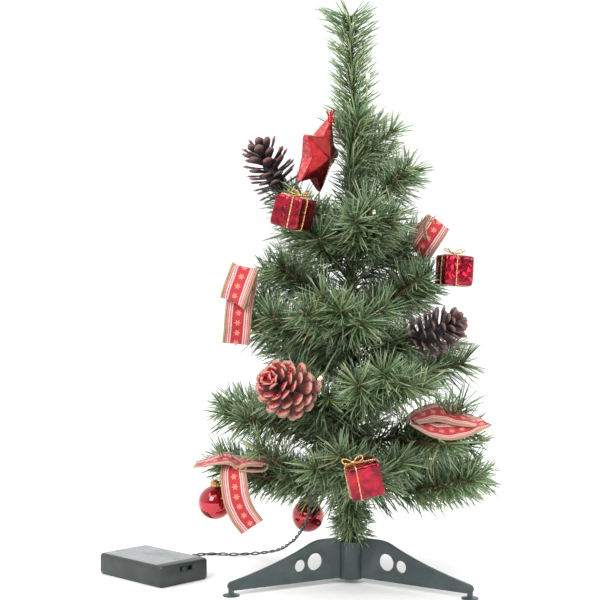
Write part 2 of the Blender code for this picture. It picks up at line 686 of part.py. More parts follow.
def add_switch(frame, plastic, board_green):
    """The board with the switch's body on it, and the knob that slides in the case's slot."""
    length, width, height = case_size()
    inner = length - CASE_WALL
    y, z = slot_centre()
    board_x = switch_bay_start() + 2 * GAP
    top = height - COVER_PLATE - 2 * GAP
    board_low = (board_x, BOARD_MARGIN, CASE_FLOOR + GAP)
    board_high = (board_x + BOARD, width - BOARD_MARGIN, top)
    board = add_object("switch_board", box_mesh("switch_board", board_low, board_high), board_green, frame)
    body_low = (board_x + BOARD / 2, y - SWITCH_BODY_HALF, z - SWITCH_BODY_BELOW)
    body_high = (inner - KNOB_FLANGE - 3 * GAP, y + SWITCH_BODY_HALF, top)
    body = helper("switch_body", box_mesh("switch_body", body_low, body_high), frame)
    boolean(board, body, "UNION")
    slide = add_empty("battery_switch_slide", (inner, y - SWITCH_TRAVEL / 2, z), parent=frame)
    half_y, half_z = KNOB_WIDTH / 2, SLOT_HEIGHT / 2 - GAP
    knob_low = (-GAP - KNOB_FLANGE / 2, -half_y, -half_z)
    knob_high = (CASE_WALL + KNOB_STANDS_OUT, half_y, half_z)
    knob = add_object("switch_knob", box_mesh("switch_knob", knob_low, knob_high), plastic, slide)
    side, rise = half_y + KNOB_FLANGE_SIDE, half_z + KNOB_FLANGE_RISE
    flange_mesh = box_mesh("knob_flange", (-KNOB_FLANGE - GAP, -side, -rise), (-GAP, side, rise))
    boolean(knob, helper("knob_flange", flange_mesh, slide), "UNION")


def add_grommet(frame, rubber):
    thin = GROMMET_RADIUS * GROMMET_NECK
    inside = GAP - COVER_MARGIN
    profile = [
        (0.0, inside), (thin, inside), (thin, GAP), (GROMMET_RADIUS, GAP), (GROMMET_RADIUS, GROMMET_FLANGE),
        (thin, GROMMET_LENGTH), (0.0, GROMMET_LENGTH),
    ]
    grommet = add_object("lead_grommet", turned_mesh("lead_grommet", profile, 16), rubber, frame)
    grommet.location = (GROMMET_ALONG, case_size()[1], GROMMET_UP)
    grommet.rotation_euler.x = -math.pi / 2


# Light string and lead


def smooth_route(route, spacing):
    """Points a spacing apart on one smooth curve through the route's points (centripetal Catmull-Rom)."""
    points = [Vector(point) for point in route]
    points = [2 * points[0] - points[1]] + points + [2 * points[-1] - points[-2]]
    dense = []
    for p0, p1, p2, p3 in zip(points, points[1:], points[2:], points[3:]):
        t0 = 0.0
        t1 = t0 + math.sqrt((p1 - p0).length)
        t2 = t1 + math.sqrt((p2 - p1).length)
        t3 = t2 + math.sqrt((p3 - p2).length)
        for step in range(20):
            t = t1 + (t2 - t1) * step / 20
            a1 = p0 * (t1 - t) / (t1 - t0) + p1 * (t - t0) / (t1 - t0)
            a2 = p1 * (t2 - t) / (t2 - t1) + p2 * (t - t1) / (t2 - t1)
            a3 = p2 * (t3 - t) / (t3 - t2) + p3 * (t - t2) / (t3 - t2)
            b1 = a1 * (t2 - t) / (t2 - t0) + a2 * (t - t0) / (t2 - t0)
            b2 = a2 * (t3 - t) / (t3 - t1) + a3 * (t - t1) / (t3 - t1)
            dense.append(b1 * (t2 - t) / (t2 - t1) + b2 * (t - t1) / (t2 - t1))
    dense.append(points[-2])
    total = sum((b - a).length for a, b in zip(dense, dense[1:]))
    count = max(2, round(total / spacing))
    found, walked, goal = [dense[0]], 0.0, total / count
    for a, b in zip(dense, dense[1:]):
        piece = (b - a).length
        while walked + piece >= goal * len(found) and len(found) < count:
            found.append(a.lerp(b, (goal * len(found) - walked) / piece))
        walked += piece
    return found + [dense[-1]]


def tube(name, points, radius, finish):
    data = bpy.data.curves.new(name, "CURVE")
    data.dimensions = "3D"
    data.bevel_depth = radius
    data.bevel_resolution = 2
    data.use_fill_caps = True
    spline = data.splines.new("POLY")
    spline.points.add(len(points) - 1)
    for slot, point in zip(spline.points, points):
        slot.co = (*point, 1.0)
    return add_object(name, data, finish)


def string_point(height):
    """The light string winds up the pole, lying on it."""
    start_angle, start_height = STRING_START
    angle = start_angle + 360.0 * (height - start_height) / STRING_PITCH
    return heading(angle) * (POLE_RADIUS + GAP + STRING_RADIUS) + Vector((0.0, 0.0, height))


def add_light_string(wire):
    steps = round((STRING_END - STRING_START[1]) / STRING_STEP)
    rise = (STRING_END - STRING_START[1]) / steps
    points = [string_point(STRING_START[1] + rise * step) for step in range(steps + 1)]
    tube("light_string", points, STRING_RADIUS, wire)


def add_lead(wire):
    """The twisted-pair lead, from just outside the grommet to just short of the light string."""
    across = heading(CASE_TURN + 90.0)
    leaves = in_case(GROMMET_ALONG, case_size()[1] + GROMMET_LENGTH + GAP, GROMMET_UP)
    angle, height = STRING_START
    rising = Vector((0.0, 0.0, 1.0))
    ends = heading(angle) * (POLE_RADIUS + GAP + LEAD_RADIUS) + rising * (height - 2 * GAP)
    route = [leaves, leaves + across * LEAD_STRAIGHT] + LEAD_ROUTE + [ends - rising * LEAD_STRAIGHT, ends]
    tube("lead_cord", smooth_route(route, LEAD_STEP), LEAD_RADIUS, wire)


def main():
    for thing in list(bpy.data.objects):
        bpy.data.objects.remove(thing)

    stand = material("stand_plastic", (0.075, 0.105, 0.105), 0.45)
    wrapped = material("trunk_wrap", (0.05, 0.09, 0.05), 0.6)
    needles = material("needles", (0.05, 0.12, 0.06), 0.55)
    foil = material("red_foil", (0.45, 0.01, 0.03), 0.2, 0.8)
    scales = material("cone_scales", (0.10, 0.06, 0.05), 0.7)
    glossy = material("bauble_red", (0.45, 0.01, 0.03), 0.08, 0.6)
    gold = material("gold", (0.75, 0.52, 0.18), 0.3, 1.0)
    cloth = material("ribbon_cloth", (0.60, 0.12, 0.12), 0.8)
    case_plastic = material("case_plastic", (0.065, 0.085, 0.08), 0.4)
    steel = material("nickel_steel", (0.6, 0.6, 0.58), 0.3, 1.0)
    jacket = material("cell_jacket", (0.08, 0.08, 0.09), 0.35)
    board_green = material("board", (0.05, 0.18, 0.08), 0.5)
    rubber = material("grommet_rubber", (0.03, 0.04, 0.035), 0.7)
    wire = material("green_wire", (0.03, 0.07, 0.04), 0.5)

    add_hub(stand)
    for name, direction in LEG_DIRECTIONS.items():
        add_leg(name, direction, stand)
    add_trunk(wrapped, needles)
    for name in BRANCHES:
        add_branch(name, needles)
    for name, (branch, turn) in GIFTS.items():
        add_gift(name, branch, turn, foil)
    for name, (branch, length, radius, above) in CONES.items():
        add_cone(name, branch, length, radius, above, scales)
    for name, (branch, along, below) in BAUBLES.items():
        add_bauble(name, branch, along, below, glossy, gold)
    add_star(foil)
    for name, (branch, share, front, knot_up) in RIBBONS.items():
        add_ribbon(name, branch, share, front, knot_up, cloth)

    frame = add_empty("battery_case_frame", in_case(0.0, 0.0, 0.0), (0.0, 0.0, CASE_TURN))
    add_case(frame, case_plastic)
    add_cover(frame, case_plastic, steel)
    add_cells(frame, jacket, steel)
    add_switch(frame, case_plastic, board_green)
    add_grommet(frame, rubber)
    add_light_string(wire)
    add_lead(wire)


main()
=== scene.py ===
import json
import math
import bmesh
import bpy
import numpy as np
from mathutils import Euler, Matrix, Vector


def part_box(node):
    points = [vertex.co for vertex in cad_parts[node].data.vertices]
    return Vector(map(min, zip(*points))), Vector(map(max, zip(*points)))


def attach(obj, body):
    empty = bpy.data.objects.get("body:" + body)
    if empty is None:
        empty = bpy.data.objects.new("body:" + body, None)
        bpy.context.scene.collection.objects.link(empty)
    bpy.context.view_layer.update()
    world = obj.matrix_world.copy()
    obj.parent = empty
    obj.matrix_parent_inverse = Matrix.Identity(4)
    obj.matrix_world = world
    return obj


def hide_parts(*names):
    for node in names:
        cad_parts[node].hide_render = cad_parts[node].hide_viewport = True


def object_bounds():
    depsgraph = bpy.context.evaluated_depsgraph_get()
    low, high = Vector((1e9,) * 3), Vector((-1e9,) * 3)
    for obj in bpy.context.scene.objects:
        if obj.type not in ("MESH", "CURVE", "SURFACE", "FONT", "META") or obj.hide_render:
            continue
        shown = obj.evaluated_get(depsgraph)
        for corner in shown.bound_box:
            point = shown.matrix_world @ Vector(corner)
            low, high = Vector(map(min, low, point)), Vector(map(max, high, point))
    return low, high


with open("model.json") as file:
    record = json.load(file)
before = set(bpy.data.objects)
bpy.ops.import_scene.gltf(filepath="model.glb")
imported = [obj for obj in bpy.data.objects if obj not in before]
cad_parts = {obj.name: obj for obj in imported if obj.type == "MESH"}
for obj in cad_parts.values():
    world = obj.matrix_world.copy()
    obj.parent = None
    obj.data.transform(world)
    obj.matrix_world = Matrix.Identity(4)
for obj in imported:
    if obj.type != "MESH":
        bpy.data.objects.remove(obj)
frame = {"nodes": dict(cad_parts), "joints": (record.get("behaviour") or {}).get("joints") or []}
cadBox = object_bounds()
nodes = frame["nodes"]
joints = {joint["name"]: joint for joint in frame["joints"]}

mapName = "OFBake"  # the pieces' own flat maps all have this name
gap = 0.0003


# Shapes: every surface is worked out as whole arrays

def unit(rows):
    # Each row divided by its own length.
    return rows / np.maximum(np.linalg.norm(rows, axis=-1, keepdims=True), 1e-12)


def heading(degrees):
    # A level direction, turned from +X.
    angle = math.radians(degrees)
    return np.array((math.cos(angle), math.sin(angle), 0.0))


def meshFrom(name, points, faces, uv=None, flatFaces=False):
    # A mesh from points (n, 3), blocks of faces (k, 3 or 4), and one map place for each point.
    mesh = bpy.data.meshes.new(name)
    corners = np.concatenate([block.ravel() for block in faces]).astype(np.int32)
    sizes = np.concatenate([np.full(len(block), block.shape[1]) for block in faces])
    starts = np.concatenate([[0], np.cumsum(sizes)[:-1]]).astype(np.int32)
    mesh.vertices.add(len(points))
    mesh.vertices.foreach_set("co", np.asarray(points, np.float32).ravel())
    mesh.loops.add(len(corners))
    mesh.loops.foreach_set("vertex_index", corners)
    mesh.polygons.add(len(sizes))
    mesh.polygons.foreach_set("loop_start", starts)
    mesh.update(calc_edges=True)
    if uv is not None:
        layer = mesh.uv_layers.new(name=mapName)
        layer.uv.foreach_set("vector", np.asarray(uv, np.float32)[corners].ravel())
    if flatFaces:
        mesh.shade_flat()
    else:
        mesh.shade_smooth()
    return mesh


def addPiece(name, mesh, body, finishes, stands=()):
    # Puts a finished mesh into the scene, on its body, in its material, for its CAD nodes.
    piece = bpy.data.objects.new(name, mesh)
    bpy.context.scene.collection.objects.link(piece)
    for finish in finishes if isinstance(finishes, (list, tuple)) else [finishes]:
        mesh.materials.append(finish)
    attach(piece, body)
    if stands:
        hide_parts(*stands)
    return piece


def gathered(shapes):
    # Several (points, face blocks, map places) shapes as one, with the corners renumbered.
    points, faces, maps, first = [], [], [], 0
    for shape in shapes:
        points.append(shape[0])
        faces += [block + first for block in shape[1]]
        if len(shape) > 2 and shape[2] is not None:
            maps.append(shape[2])
        first += len(shape[0])
    return np.concatenate(points), faces, (np.concatenate(maps) if maps else None)


def evenRoute(route, spacing):
    # Points a spacing apart on the centripetal Catmull-Rom curve through the route's points.
    points = np.asarray(route, float)
    points = np.vstack([2 * points[0] - points[1], points, 2 * points[-1] - points[-2]])
    dense = []
    share = np.linspace(0.0, 1.0, 21)[:-1, None]
    for p0, p1, p2, p3 in zip(points, points[1:], points[2:], points[3:]):
        t0 = 0.0
        t1 = t0 + np.linalg.norm(p1 - p0) ** 0.5
        t2 = t1 + np.linalg.norm(p2 - p1) ** 0.5
        t3 = t2 + np.linalg.norm(p3 - p2) ** 0.5
        t = t1 + (t2 - t1) * share
        a1 = p0 * (t1 - t) / (t1 - t0) + p1 * (t - t0) / (t1 - t0)
        a2 = p1 * (t2 - t) / (t2 - t1) + p2 * (t - t1) / (t2 - t1)
        a3 = p2 * (t3 - t) / (t3 - t2) + p3 * (t - t2) / (t3 - t2)
        b1 = a1 * (t2 - t) / (t2 - t0) + a2 * (t - t0) / (t2 - t0)
        b2 = a2 * (t3 - t) / (t3 - t1) + a3 * (t - t1) / (t3 - t1)
        dense.append(b1 * (t2 - t) / (t2 - t1) + b2 * (t - t1) / (t2 - t1))
    return evenly(np.vstack([*dense, points[-2:-1]]), spacing)


def evenly(line, spacing):
    # The same line with its points a spacing apart along it.
    walked = np.concatenate([[0.0], np.cumsum(np.linalg.norm(np.diff(line, axis=0), axis=1))])
    count = max(2, round(walked[-1] / spacing))
    goal = np.linspace(0.0, walked[-1], count + 1)
    return between(goal, walked, line)


def between(share, stations, rows):
    # The rows' (x, y, z) read off between the stations.
    return np.stack([np.interp(share, stations, rows[:, axis]) for axis in range(3)], 1)


def lengthOf(line):
    return float(np.linalg.norm(np.diff(line, axis=0), axis=1).sum())


def framesAlong(line):
    # At each point the tangent and two directions across it, which turn as little as they can.
    tangent = unit(np.gradient(line, axis=0))
    side = np.zeros_like(tangent)
    start = np.cross(tangent[0], (0.3, -0.2, 0.93))
    for row, along in enumerate(tangent):
        start = start - along * np.dot(start, along)
        start = start / np.linalg.norm(start)
        side[row] = start
    return tangent, side, np.cross(tangent, side)


def ringed(rings, ends):
    # Rings of points (row, side) as a shape: quads between one ring and the next, and a fan at each end.
    rows, sides = rings.shape[:2]
    row, side = np.meshgrid(np.arange(rows - 1), np.arange(sides), indexing="ij")
    here, beside = row * sides + side, row * sides + (side + 1) % sides
    quads = np.stack([here, beside, beside + sides, here + sides], -1).reshape(-1, 4)
    around, last, count = np.arange(sides), (rows - 1) * sides, rows * sides
    low = np.stack([np.full(sides, count), (around + 1) % sides, around], 1)
    high = np.stack([np.full(sides, count + 1), last + around, last + (around + 1) % sides], 1)
    return np.vstack([rings.reshape(-1, 3), ends]), [quads, low, high]


def carried(line, across, up):
    # A closed profile carried along a path: point (i, j) = line[i] + across[i, j] + up[i, j].
    rings = line[:, None] + across + up
    return ringed(rings, [rings[0].mean(0), rings[-1].mean(0)])


def tube(line, radius, sides, squash=1.0):
    # A round profile along a path; the radius may change from point to point.
    tangent, side, top = framesAlong(line)
    angle = np.linspace(0.0, math.tau, sides, endpoint=False)
    radius = np.broadcast_to(np.asarray(radius, float), (len(line),))[:, None, None]
    across = side[:, None] * np.cos(angle)[None, :, None] * radius
    up = top[:, None] * np.sin(angle)[None, :, None] * radius * squash
    return carried(line, across, up)


def turned(profile, centre, axis, sides):
    # A profile of (radius, height) pairs turned about an axis through centre, first and last on it.
    profile = np.asarray(profile, float)
    axis = unit(np.asarray(axis, float))
    side = unit(np.cross(axis, (0.31, 0.87, 0.38)))
    top = np.cross(axis, side)
    angle = np.linspace(0.0, math.tau, sides, endpoint=False)
    ring = side[None] * np.cos(angle)[:, None] + top[None] * np.sin(angle)[:, None]
    inner = profile[1:-1]
    rings = centre + inner[:, None, :1] * ring[None] + inner[:, None, 1:] * axis
    return ringed(rings, centre + profile[[0, -1], 1][:, None] * axis)


def twistedPair(line, radius, apart, pitch, sides=7):
    # Two round wires about a path: each centre is the path plus apart times a direction that turns
    # once in every pitch.
    walked = np.concatenate([[0.0], np.cumsum(np.linalg.norm(np.diff(line, axis=0), axis=1))])
    tangent, side, top = framesAlong(line)
    turn = walked / pitch * math.tau
    apart = np.broadcast_to(np.asarray(apart, float), (len(line),))[:, None]
    off = (side * np.cos(turn)[:, None] + top * np.sin(turn)[:, None]) * apart
    return gathered([tube(line + off, radius, sides), tube(line - off, radius, sides)])


# Materials

def newFinish(name):
    finish = bpy.data.materials.new(name)
    finish.use_nodes = True
    tree = finish.node_tree
    shader = tree.nodes["Principled BSDF"]
    return finish, tree, shader


def node(tree, kind, inputs=None, **settings):
    # A node with its settings and its inputs, each a value or another node's output.
    made = tree.nodes.new("ShaderNode" + kind)
    for name, value in settings.items():
        setattr(made, name, value)
    for key, value in (inputs or {}).items():
        socket = made.inputs[key]
        if isinstance(value, bpy.types.NodeSocket):
            tree.links.new(value, socket)
        else:
            socket.default_value = value
    return made


def ramp(tree, factor, stops, smooth=True):
    # A colour ramp from (place, colour) pairs.
    made = node(tree, "ValToRGB", {"Fac": factor})
    made.color_ramp.interpolation = "LINEAR" if smooth else "CONSTANT"
    elements = made.color_ramp.elements
    while len(elements) < len(stops):
        elements.new(0.5)
    for element, (place, colour) in zip(elements, stops):
        element.position = place
        element.color = (*colour, 1.0)
    return made.outputs["Color"]


def maths(tree, operation, first, second=0.0, third=0.0):
    return node(tree, "Math", {0: first, 1: second, 2: third}, operation=operation).outputs[0]


def distance(tree, x, y):
    # The square root of x^2 + y^2.
    squares = maths(tree, "ADD", maths(tree, "POWER", x, 2.0), maths(tree, "POWER", y, 2.0))
    return maths(tree, "SQRT", squares)


def noise(tree, place, scale, detail):
    return node(tree, "TexNoise", {"Vector": place, "Scale": scale, "Detail": detail}).outputs["Fac"]


def mapped(tree, value, low, high, bottom, top):
    # value, as far as it goes from low to high, between bottom and top.
    ends = {"From Min": low, "From Max": high, "To Min": bottom, "To Max": top}
    return node(tree, "MapRange", {"Value": value, **ends}).outputs["Result"]


def scaled(tree, colour, factor):
    return node(tree, "VectorMath", {0: colour, "Scale": factor}, operation="SCALE").outputs["Vector"]


def emboss(tree, shader, height, strength, depth):
    raised = node(tree, "Bump", {"Height": height, "Strength": strength, "Distance": depth})
    tree.links.new(raised.outputs["Normal"], shader.inputs["Normal"])


def colourMix(tree, factor, first, second):
    made = tree.nodes.new("ShaderNodeMix")
    made.data_type = "RGBA"
    for index, value in ((0, factor), (6, first), (7, second)):
        if isinstance(value, bpy.types.NodeSocket):
            tree.links.new(value, made.inputs[index])
        elif index:
            made.inputs[index].default_value = (*value, 1.0)
        else:
            made.inputs[index].default_value = value
    return made.outputs[2]


def mottled(name, colours, scale, roughness, bump=None, metallic=0.0, detail=3.0, **sockets):
    # Colours drift with a soft noise, roughness with a finer one, and a still finer one makes the grain.
    finish, tree, shader = newFinish(name)
    place = node(tree, "TexCoord").outputs["Object"]
    drift = noise(tree, place, scale, detail)
    count = len(colours) - 1
    stops = [(0.3 + 0.4 * step / max(count, 1), colour) for step, colour in enumerate(colours)]
    tree.links.new(ramp(tree, drift, stops), shader.inputs["Base Color"])
    spread = mapped(tree, noise(tree, place, scale * 4.3, 2.0), 0.3, 0.7, *roughness)
    tree.links.new(spread, shader.inputs["Roughness"])
    if bump:
        emboss(tree, shader, noise(tree, place, bump[0], 3.0), bump[1], bump[2])
    shader.inputs["Metallic"].default_value = metallic
    for socket, value in sockets.items():
        shader.inputs[socket].default_value = value
    return finish


needleLanes = 64  # needles of one lane share a strip of the map, and its tint


def needleFinish(name, tints, root, tip):
    # The strip's number picks the tint; along the needle it runs from the brown root to the pale tip.
    finish, tree, shader = newFinish(name)
    flat = node(tree, "UVMap", uv_map=mapName).outputs["UV"]
    parts = node(tree, "SeparateXYZ", {"Vector": flat})
    lane = maths(tree, "FLOOR", maths(tree, "MULTIPLY", parts.outputs["X"], float(needleLanes)))
    chance = node(tree, "TexWhiteNoise", {"W": lane}, noise_dimensions="1D").outputs["Value"]
    tint = ramp(tree, chance, tints)
    along = parts.outputs["Y"]
    rooted = colourMix(tree, mapped(tree, along, 0.0, 0.3, 0.85, 0.0), tint, root)
    tipped = colourMix(tree, mapped(tree, along, 0.55, 1.0, 0.0, 0.6), rooted, tip)
    # Painted shade: darker towards the trunk, where less light gets in, and over the middle of the height;
    # painted light makes the top and the foot lighter.
    place = node(tree, "SeparateXYZ", {"Vector": node(tree, "TexCoord").outputs["Object"]}).outputs
    paintedShadeByTrunk = mapped(tree, distance(tree, place["X"], place["Y"]), 0.02, 0.10, 0.56, 0.90)
    upper = mapped(tree, place["Z"], 0.27, 0.40, 0.0, 0.50)
    lower = mapped(tree, place["Z"], 0.09, 0.055, 0.0, 0.42)
    paintedLightByHeight = maths(tree, "ADD", upper, lower)
    # tone scales the needle colour by this painted shade and painted light.
    tone = maths(tree, "MINIMUM", maths(tree, "ADD", paintedShadeByTrunk, paintedLightByHeight), 1.08)
    tree.links.new(scaled(tree, tipped, tone), shader.inputs["Base Color"])
    shine = mapped(tree, noise(tree, flat, 190.0, 1.0), 0.0, 1.0, 0.32, 0.62)
    tree.links.new(shine, shader.inputs["Roughness"])
    shader.inputs["Specular IOR Level"].default_value = 0.55
    return finish


def linear(red, green, blue):
    # A screen colour, 0 to 255, as the shader's own light.
    return tuple(np.where(
        (value := np.array((red, green, blue)) / 255.0) <= 0.04045, value / 12.92, (
            (value + 0.055) / 1.055
        ) ** 2.4
    ).tolist())


standPlastic = mottled(
    "standPlastic", [linear(47, 58, 59), linear(52, 64, 64), linear(58, 71, 71)], 90.0, (0.36, 0.5),
    bump=(2600.0, 0.25, 0.0001),
)
casePlastic = mottled(
    "casePlastic", [linear(38, 44, 44), linear(45, 51, 50), linear(51, 57, 56)], 70.0, (0.34, 0.46),
    bump=(2800.0, 0.3, 0.0001),
)
# Painted reflection: the cover is a light grey, standing for the bright surroundings its top mirrors, where
# the case plastic is dark.
coverPaintedReflection = mottled(
    "coverPaintedReflection", [linear(124, 127, 129), linear(132, 135, 137), linear(139, 141, 143)], 60.0, (0.3, 0.42),
    bump=(2800.0, 0.3, 0.0001),
)
trunkTape = mottled(
    "trunkTape", [linear(40, 52, 34), linear(62, 70, 44), linear(80, 78, 50)], 240.0, (0.6, 0.8),
    bump=(900.0, 0.6, 0.0004),
)
stemWire = mottled(
    "stemWire", [linear(70, 58, 38), linear(96, 82, 52), linear(118, 104, 70)], 500.0, (0.4, 0.6),
    bump=(3000.0, 0.4, 0.0002),
)
greenWire = mottled(
    "greenWire", [linear(34, 46, 40), linear(46, 58, 50), linear(58, 70, 60)], 400.0, (0.3, 0.45),
    bump=(2500.0, 0.2, 0.0001),
)
paleWire = mottled(
    "paleWire", [linear(120, 138, 96), linear(146, 160, 118), linear(168, 176, 140)], 300.0, (0.3, 0.45),
    bump=(2500.0, 0.2, 0.0001),
)
nickel = mottled(
    "nickel", [linear(150, 150, 148), linear(180, 180, 176), linear(200, 198, 192)], 500.0, (0.22, 0.4),
    bump=(3000.0, 0.2, 0.0001), metallic=1.0,
)
rubber = mottled(
    "rubber", [linear(22, 26, 26), linear(32, 36, 35)], 300.0, (0.55, 0.75), bump=(2400.0, 0.3, 0.0001)
)
goldFoil = mottled(
    "goldFoil", [linear(176, 132, 72), linear(214, 176, 116), linear(238, 212, 164)], 700.0, (0.2, 0.38),
    bump=(2600.0, 0.5, 0.0002), metallic=1.0,
)
needlePlastic = needleFinish(
    "needlePlastic",
    [
        (0.0, linear(58, 88, 54)),
        (0.28, linear(84, 118, 74)),
        (0.58, linear(112, 142, 94)),
        (0.82, linear(148, 168, 122)),
        (1.0, linear(168, 166, 100)),
    ],
    linear(122, 116, 68),
    linear(172, 190, 154),
)


# Camera: level, and a little below half the tree's height

lookout = {"place": (-0.041, -1.0, 0.2241), "lens": 74.3, "sensor": 36.0}


def addCamera():
    data = bpy.data.cameras.new("lookout")
    data.lens = lookout["lens"]
    data.sensor_width = lookout["sensor"]
    data.clip_start, data.clip_end = 0.02, 50.0
    camera = bpy.data.objects.new("lookout", data)
    camera.location = lookout["place"]
    camera.rotation_euler = (math.pi / 2, 0.0, 0.0)
    bpy.context.scene.collection.objects.link(camera)
    bpy.context.scene.camera = camera


addCamera()


# Lead: two thin wires twisted loosely, from the case's grommet to the pole

lead = {
    "wire": 0.00066,
    "apart": 0.00072,
    "loosest": 0.0011,
    "pitch": 0.0200,
    "diameter": 0.0026,
    "spacing": 0.0013,
    "route": [
        (-0.1530, 0.0608, 0.0040), (-0.1478, 0.0680, 0.0012), (-0.1424, 0.0780, -0.0012),
        (-0.1374, 0.0900, -0.0020), (-0.1305, 0.1000, -0.0020), (-0.1180, 0.1034, -0.0020),
        (-0.1030, 0.1010, -0.0020), (-0.0880, 0.0980, -0.0010), (-0.0750, 0.0920, 0.0012),
        (-0.0640, 0.0815, 0.0050), (-0.0552, 0.0640, 0.0118), (-0.0492, 0.0470, 0.0190),
        (-0.0446, 0.0320, 0.0260), (-0.0402, 0.0180, 0.0345), (-0.0364, 0.0060, 0.0435),
        (-0.0342, -0.0060, 0.0535), (-0.0333, -0.0170, 0.0640), (-0.0326, -0.0270, 0.0748),
        (-0.0306, -0.0335, 0.0850), (-0.0250, -0.0325, 0.0935), (-0.0165, -0.0245, 0.0972),
        (-0.0090, -0.0160, 0.0985), (-0.0037, -0.0090, 0.1005),
    ],
}
case = {"grommet": (-0.16053, 0.05332, -0.0034), "turn": -43.7, "exit": (0.0058, 0.0080)}
poleRadius = (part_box("trunk_pole")[1].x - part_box("trunk_pole")[0].x) / 2
string = {"radius": 0.0009, "pitch": -0.0975, "start": -110.0, "low": 0.1070, "high": 0.3300}


def addLead():
    outward = heading(case["turn"] + 90.0)
    leaves = np.array(case["grommet"]) + outward * case["exit"][0] + (0.0, 0.0, case["exit"][1])
    onwards = leaves + outward * 0.003
    ends = heading(string["start"]) * (poleRadius + gap + 0.0013) + (0.0, 0.0, string["low"] - 2 * gap)
    route = [leaves, onwards, *lead["route"], ends - (0.0, 0.0, 0.003), ends]
    line = evenRoute(route, lead["spacing"])
    share = np.linspace(0.0, 1.0, len(line))
    ease = np.clip(np.minimum(share, 1.0 - share) / 0.03, 0.0, 1.0)
    loose = 0.5 + 0.5 * np.sin(share * 61.0 + np.sin(share * 23.0))
    apart = (lead["apart"] + (lead["loosest"] - lead["apart"]) * loose) * (0.72 + 0.28 * ease)
    points, faces, _ = twistedPair(line, lead["wire"], apart, lead["pitch"])
    piece = addPiece(
        "leadPair", meshFrom("leadPair", points, faces), "stand", greenWire, ["lead_cord"]
    )
    print("lead: %.0f mm" % (1000 * lengthOf(line)))


addLead()


# Needled branches: twisted stem wires with flat plastic needles standing out all round

brush = {
    "needle": 0.0255,
    "width": 0.00124,
    "perMetre": 3300.0,
    "lean": 60.0,
    "leanAtTip": 46.0,
    "taper": 0.14,
    "stem": 0.00078,
    "stemPitch": 0.0050,
    "short": 0.0075,
    "shortTop": 0.0105,
    "linePoints": 26,
    "stemStep": 0.0011,
}
goldenAngle = math.pi * (3.0 - math.sqrt(5.0))
bladeRings = np.array([0.0, 0.42, 0.82])
bladeWidths = np.array([0.85, 1.0, 0.66])


def blades(roots, aims, sides, bends, lengths, widths, lanes):
    # Each blade's middle line is root + aim * length * t + bend * length * t^2. Three corners stand
    # off it, one to each side by half the width and one on its ridge, and they meet at t = 1.
    count = len(roots)
    ridges = np.cross(sides, aims)
    t = bladeRings[None, :, None]
    line = roots[:, None] + aims[:, None] * (lengths[:, None, None] * t) + bends[:, None] * (
        lengths[:, None, None] * t**2
    )
    half = (widths[:, None] * bladeWidths[None] / 2)[..., None]
    rings = np.stack([
        line - sides[:, None] * half, line + sides[:, None] * half, line + ridges[:, None] * half * 0.55
    ], 2)
    tips = roots + (aims + bends) * lengths[:, None]
    points = np.concatenate([rings.reshape(count, 9, 3), tips[:, None]], 1).reshape(-1, 3)
    first = (np.arange(count) * 10)[:, None, None]
    quads = [
        (3 * r + a, 3 * r + 3 + a, 3 * r + 3 + b, 3 * r + b)
        for r in (0, 1) for a, b in ((0, 1), (1, 2), (2, 0))
    ]
    tris = [(6, 9, 7), (7, 9, 8), (8, 9, 6), (0, 1, 2)]
    faces = [
        (first + np.array(quads)[None]).reshape(-1, 4),
        (first + np.array(tris)[None]).reshape(-1, 3),
    ]
    across = np.array([0.1, 0.9, 0.5] * 3 + [0.5])
    upward = np.repeat(np.append(bladeRings, 1.0), [3, 3, 3, 1]) * 0.96 + 0.02
    maps = np.stack([(lanes[:, None] + across) / needleLanes, np.broadcast_to(upward, (count, 10))], -1)
    return points, faces, maps.reshape(-1, 2)


def bristles(
    line, rng, perMetre=brush["perMetre"], needle=brush["needle"], lean=brush["lean"],
    leanAtTip=brush["leanAtTip"], skip=0.0, tuft=True, shaggy=1.0, taper=brush["taper"],
):
    # Needles round a twig. Root at share s of its length, turned by the golden angle from the last;
    # leaning from the twig by lean, and by leanAtTip at its tip; shorter by taper over the last third.
    tangent, side, top = framesAlong(line)
    walked = np.linspace(0.0, 1.0, len(line))
    count = int(lengthOf(line) * (1.0 - skip) * perMetre)
    share = skip + (1.0 - skip) * (np.arange(count) + rng.random(count)) / count
    share = np.clip(share, 0.0, 1.0)
    if tuft:
        share = np.where(rng.random(count) < 0.04, 1.0 - 0.06 * rng.random(count), share)
    roots = between(share, walked, line)
    along, across, over = (unit(between(share, walked, rows)) for rows in (tangent, side, top))
    turn = np.arange(count) * goldenAngle + rng.normal(0.0, 0.35 * shaggy, count)
    tipward = np.clip((share - 0.62) / 0.38, 0.0, 1.0) ** 1.3
    angle = np.radians(lean + (leanAtTip - lean) * tipward + rng.normal(0.0, 8.0 * shaggy, count))
    out = across * np.cos(turn)[:, None] + over * np.sin(turn)[:, None]
    aims = along * np.cos(angle)[:, None] + out * np.sin(angle)[:, None]
    spin = rng.uniform(0.0, math.tau, count)[:, None]
    flat = unit(np.cross(aims, along + 0.01))
    sides = flat * np.cos(spin) + np.cross(aims, flat) * np.sin(spin)
    bends = along * rng.normal(0.04, 0.05 * shaggy, count)[:, None] + out * rng.normal(
        0.0, 0.06 * shaggy, count
    )[:, None]
    bends = bends + flat * rng.normal(0.0, 0.09 * shaggy, count)[:, None] + (0.0, 0.0, -0.03)
    lengths = needle * (1.0 - taper * tipward) * np.clip(rng.normal(1.0, 0.10, count), 0.7, 1.2)
    widths = brush["width"] * rng.uniform(0.75, 1.2, count)
    lanes = rng.integers(0, needleLanes, count)
    keep = np.ones(count, bool)
    for t in (0.55, 1.0):
        place = roots + (aims * t + bends * t**2) * lengths[:, None]
        for low, high in openViews:
            keep &= ~((place > low) & (place < high)).all(1)
    return blades(*(values[keep] for values in (roots, aims, sides, bends, lengths, widths, lanes)))


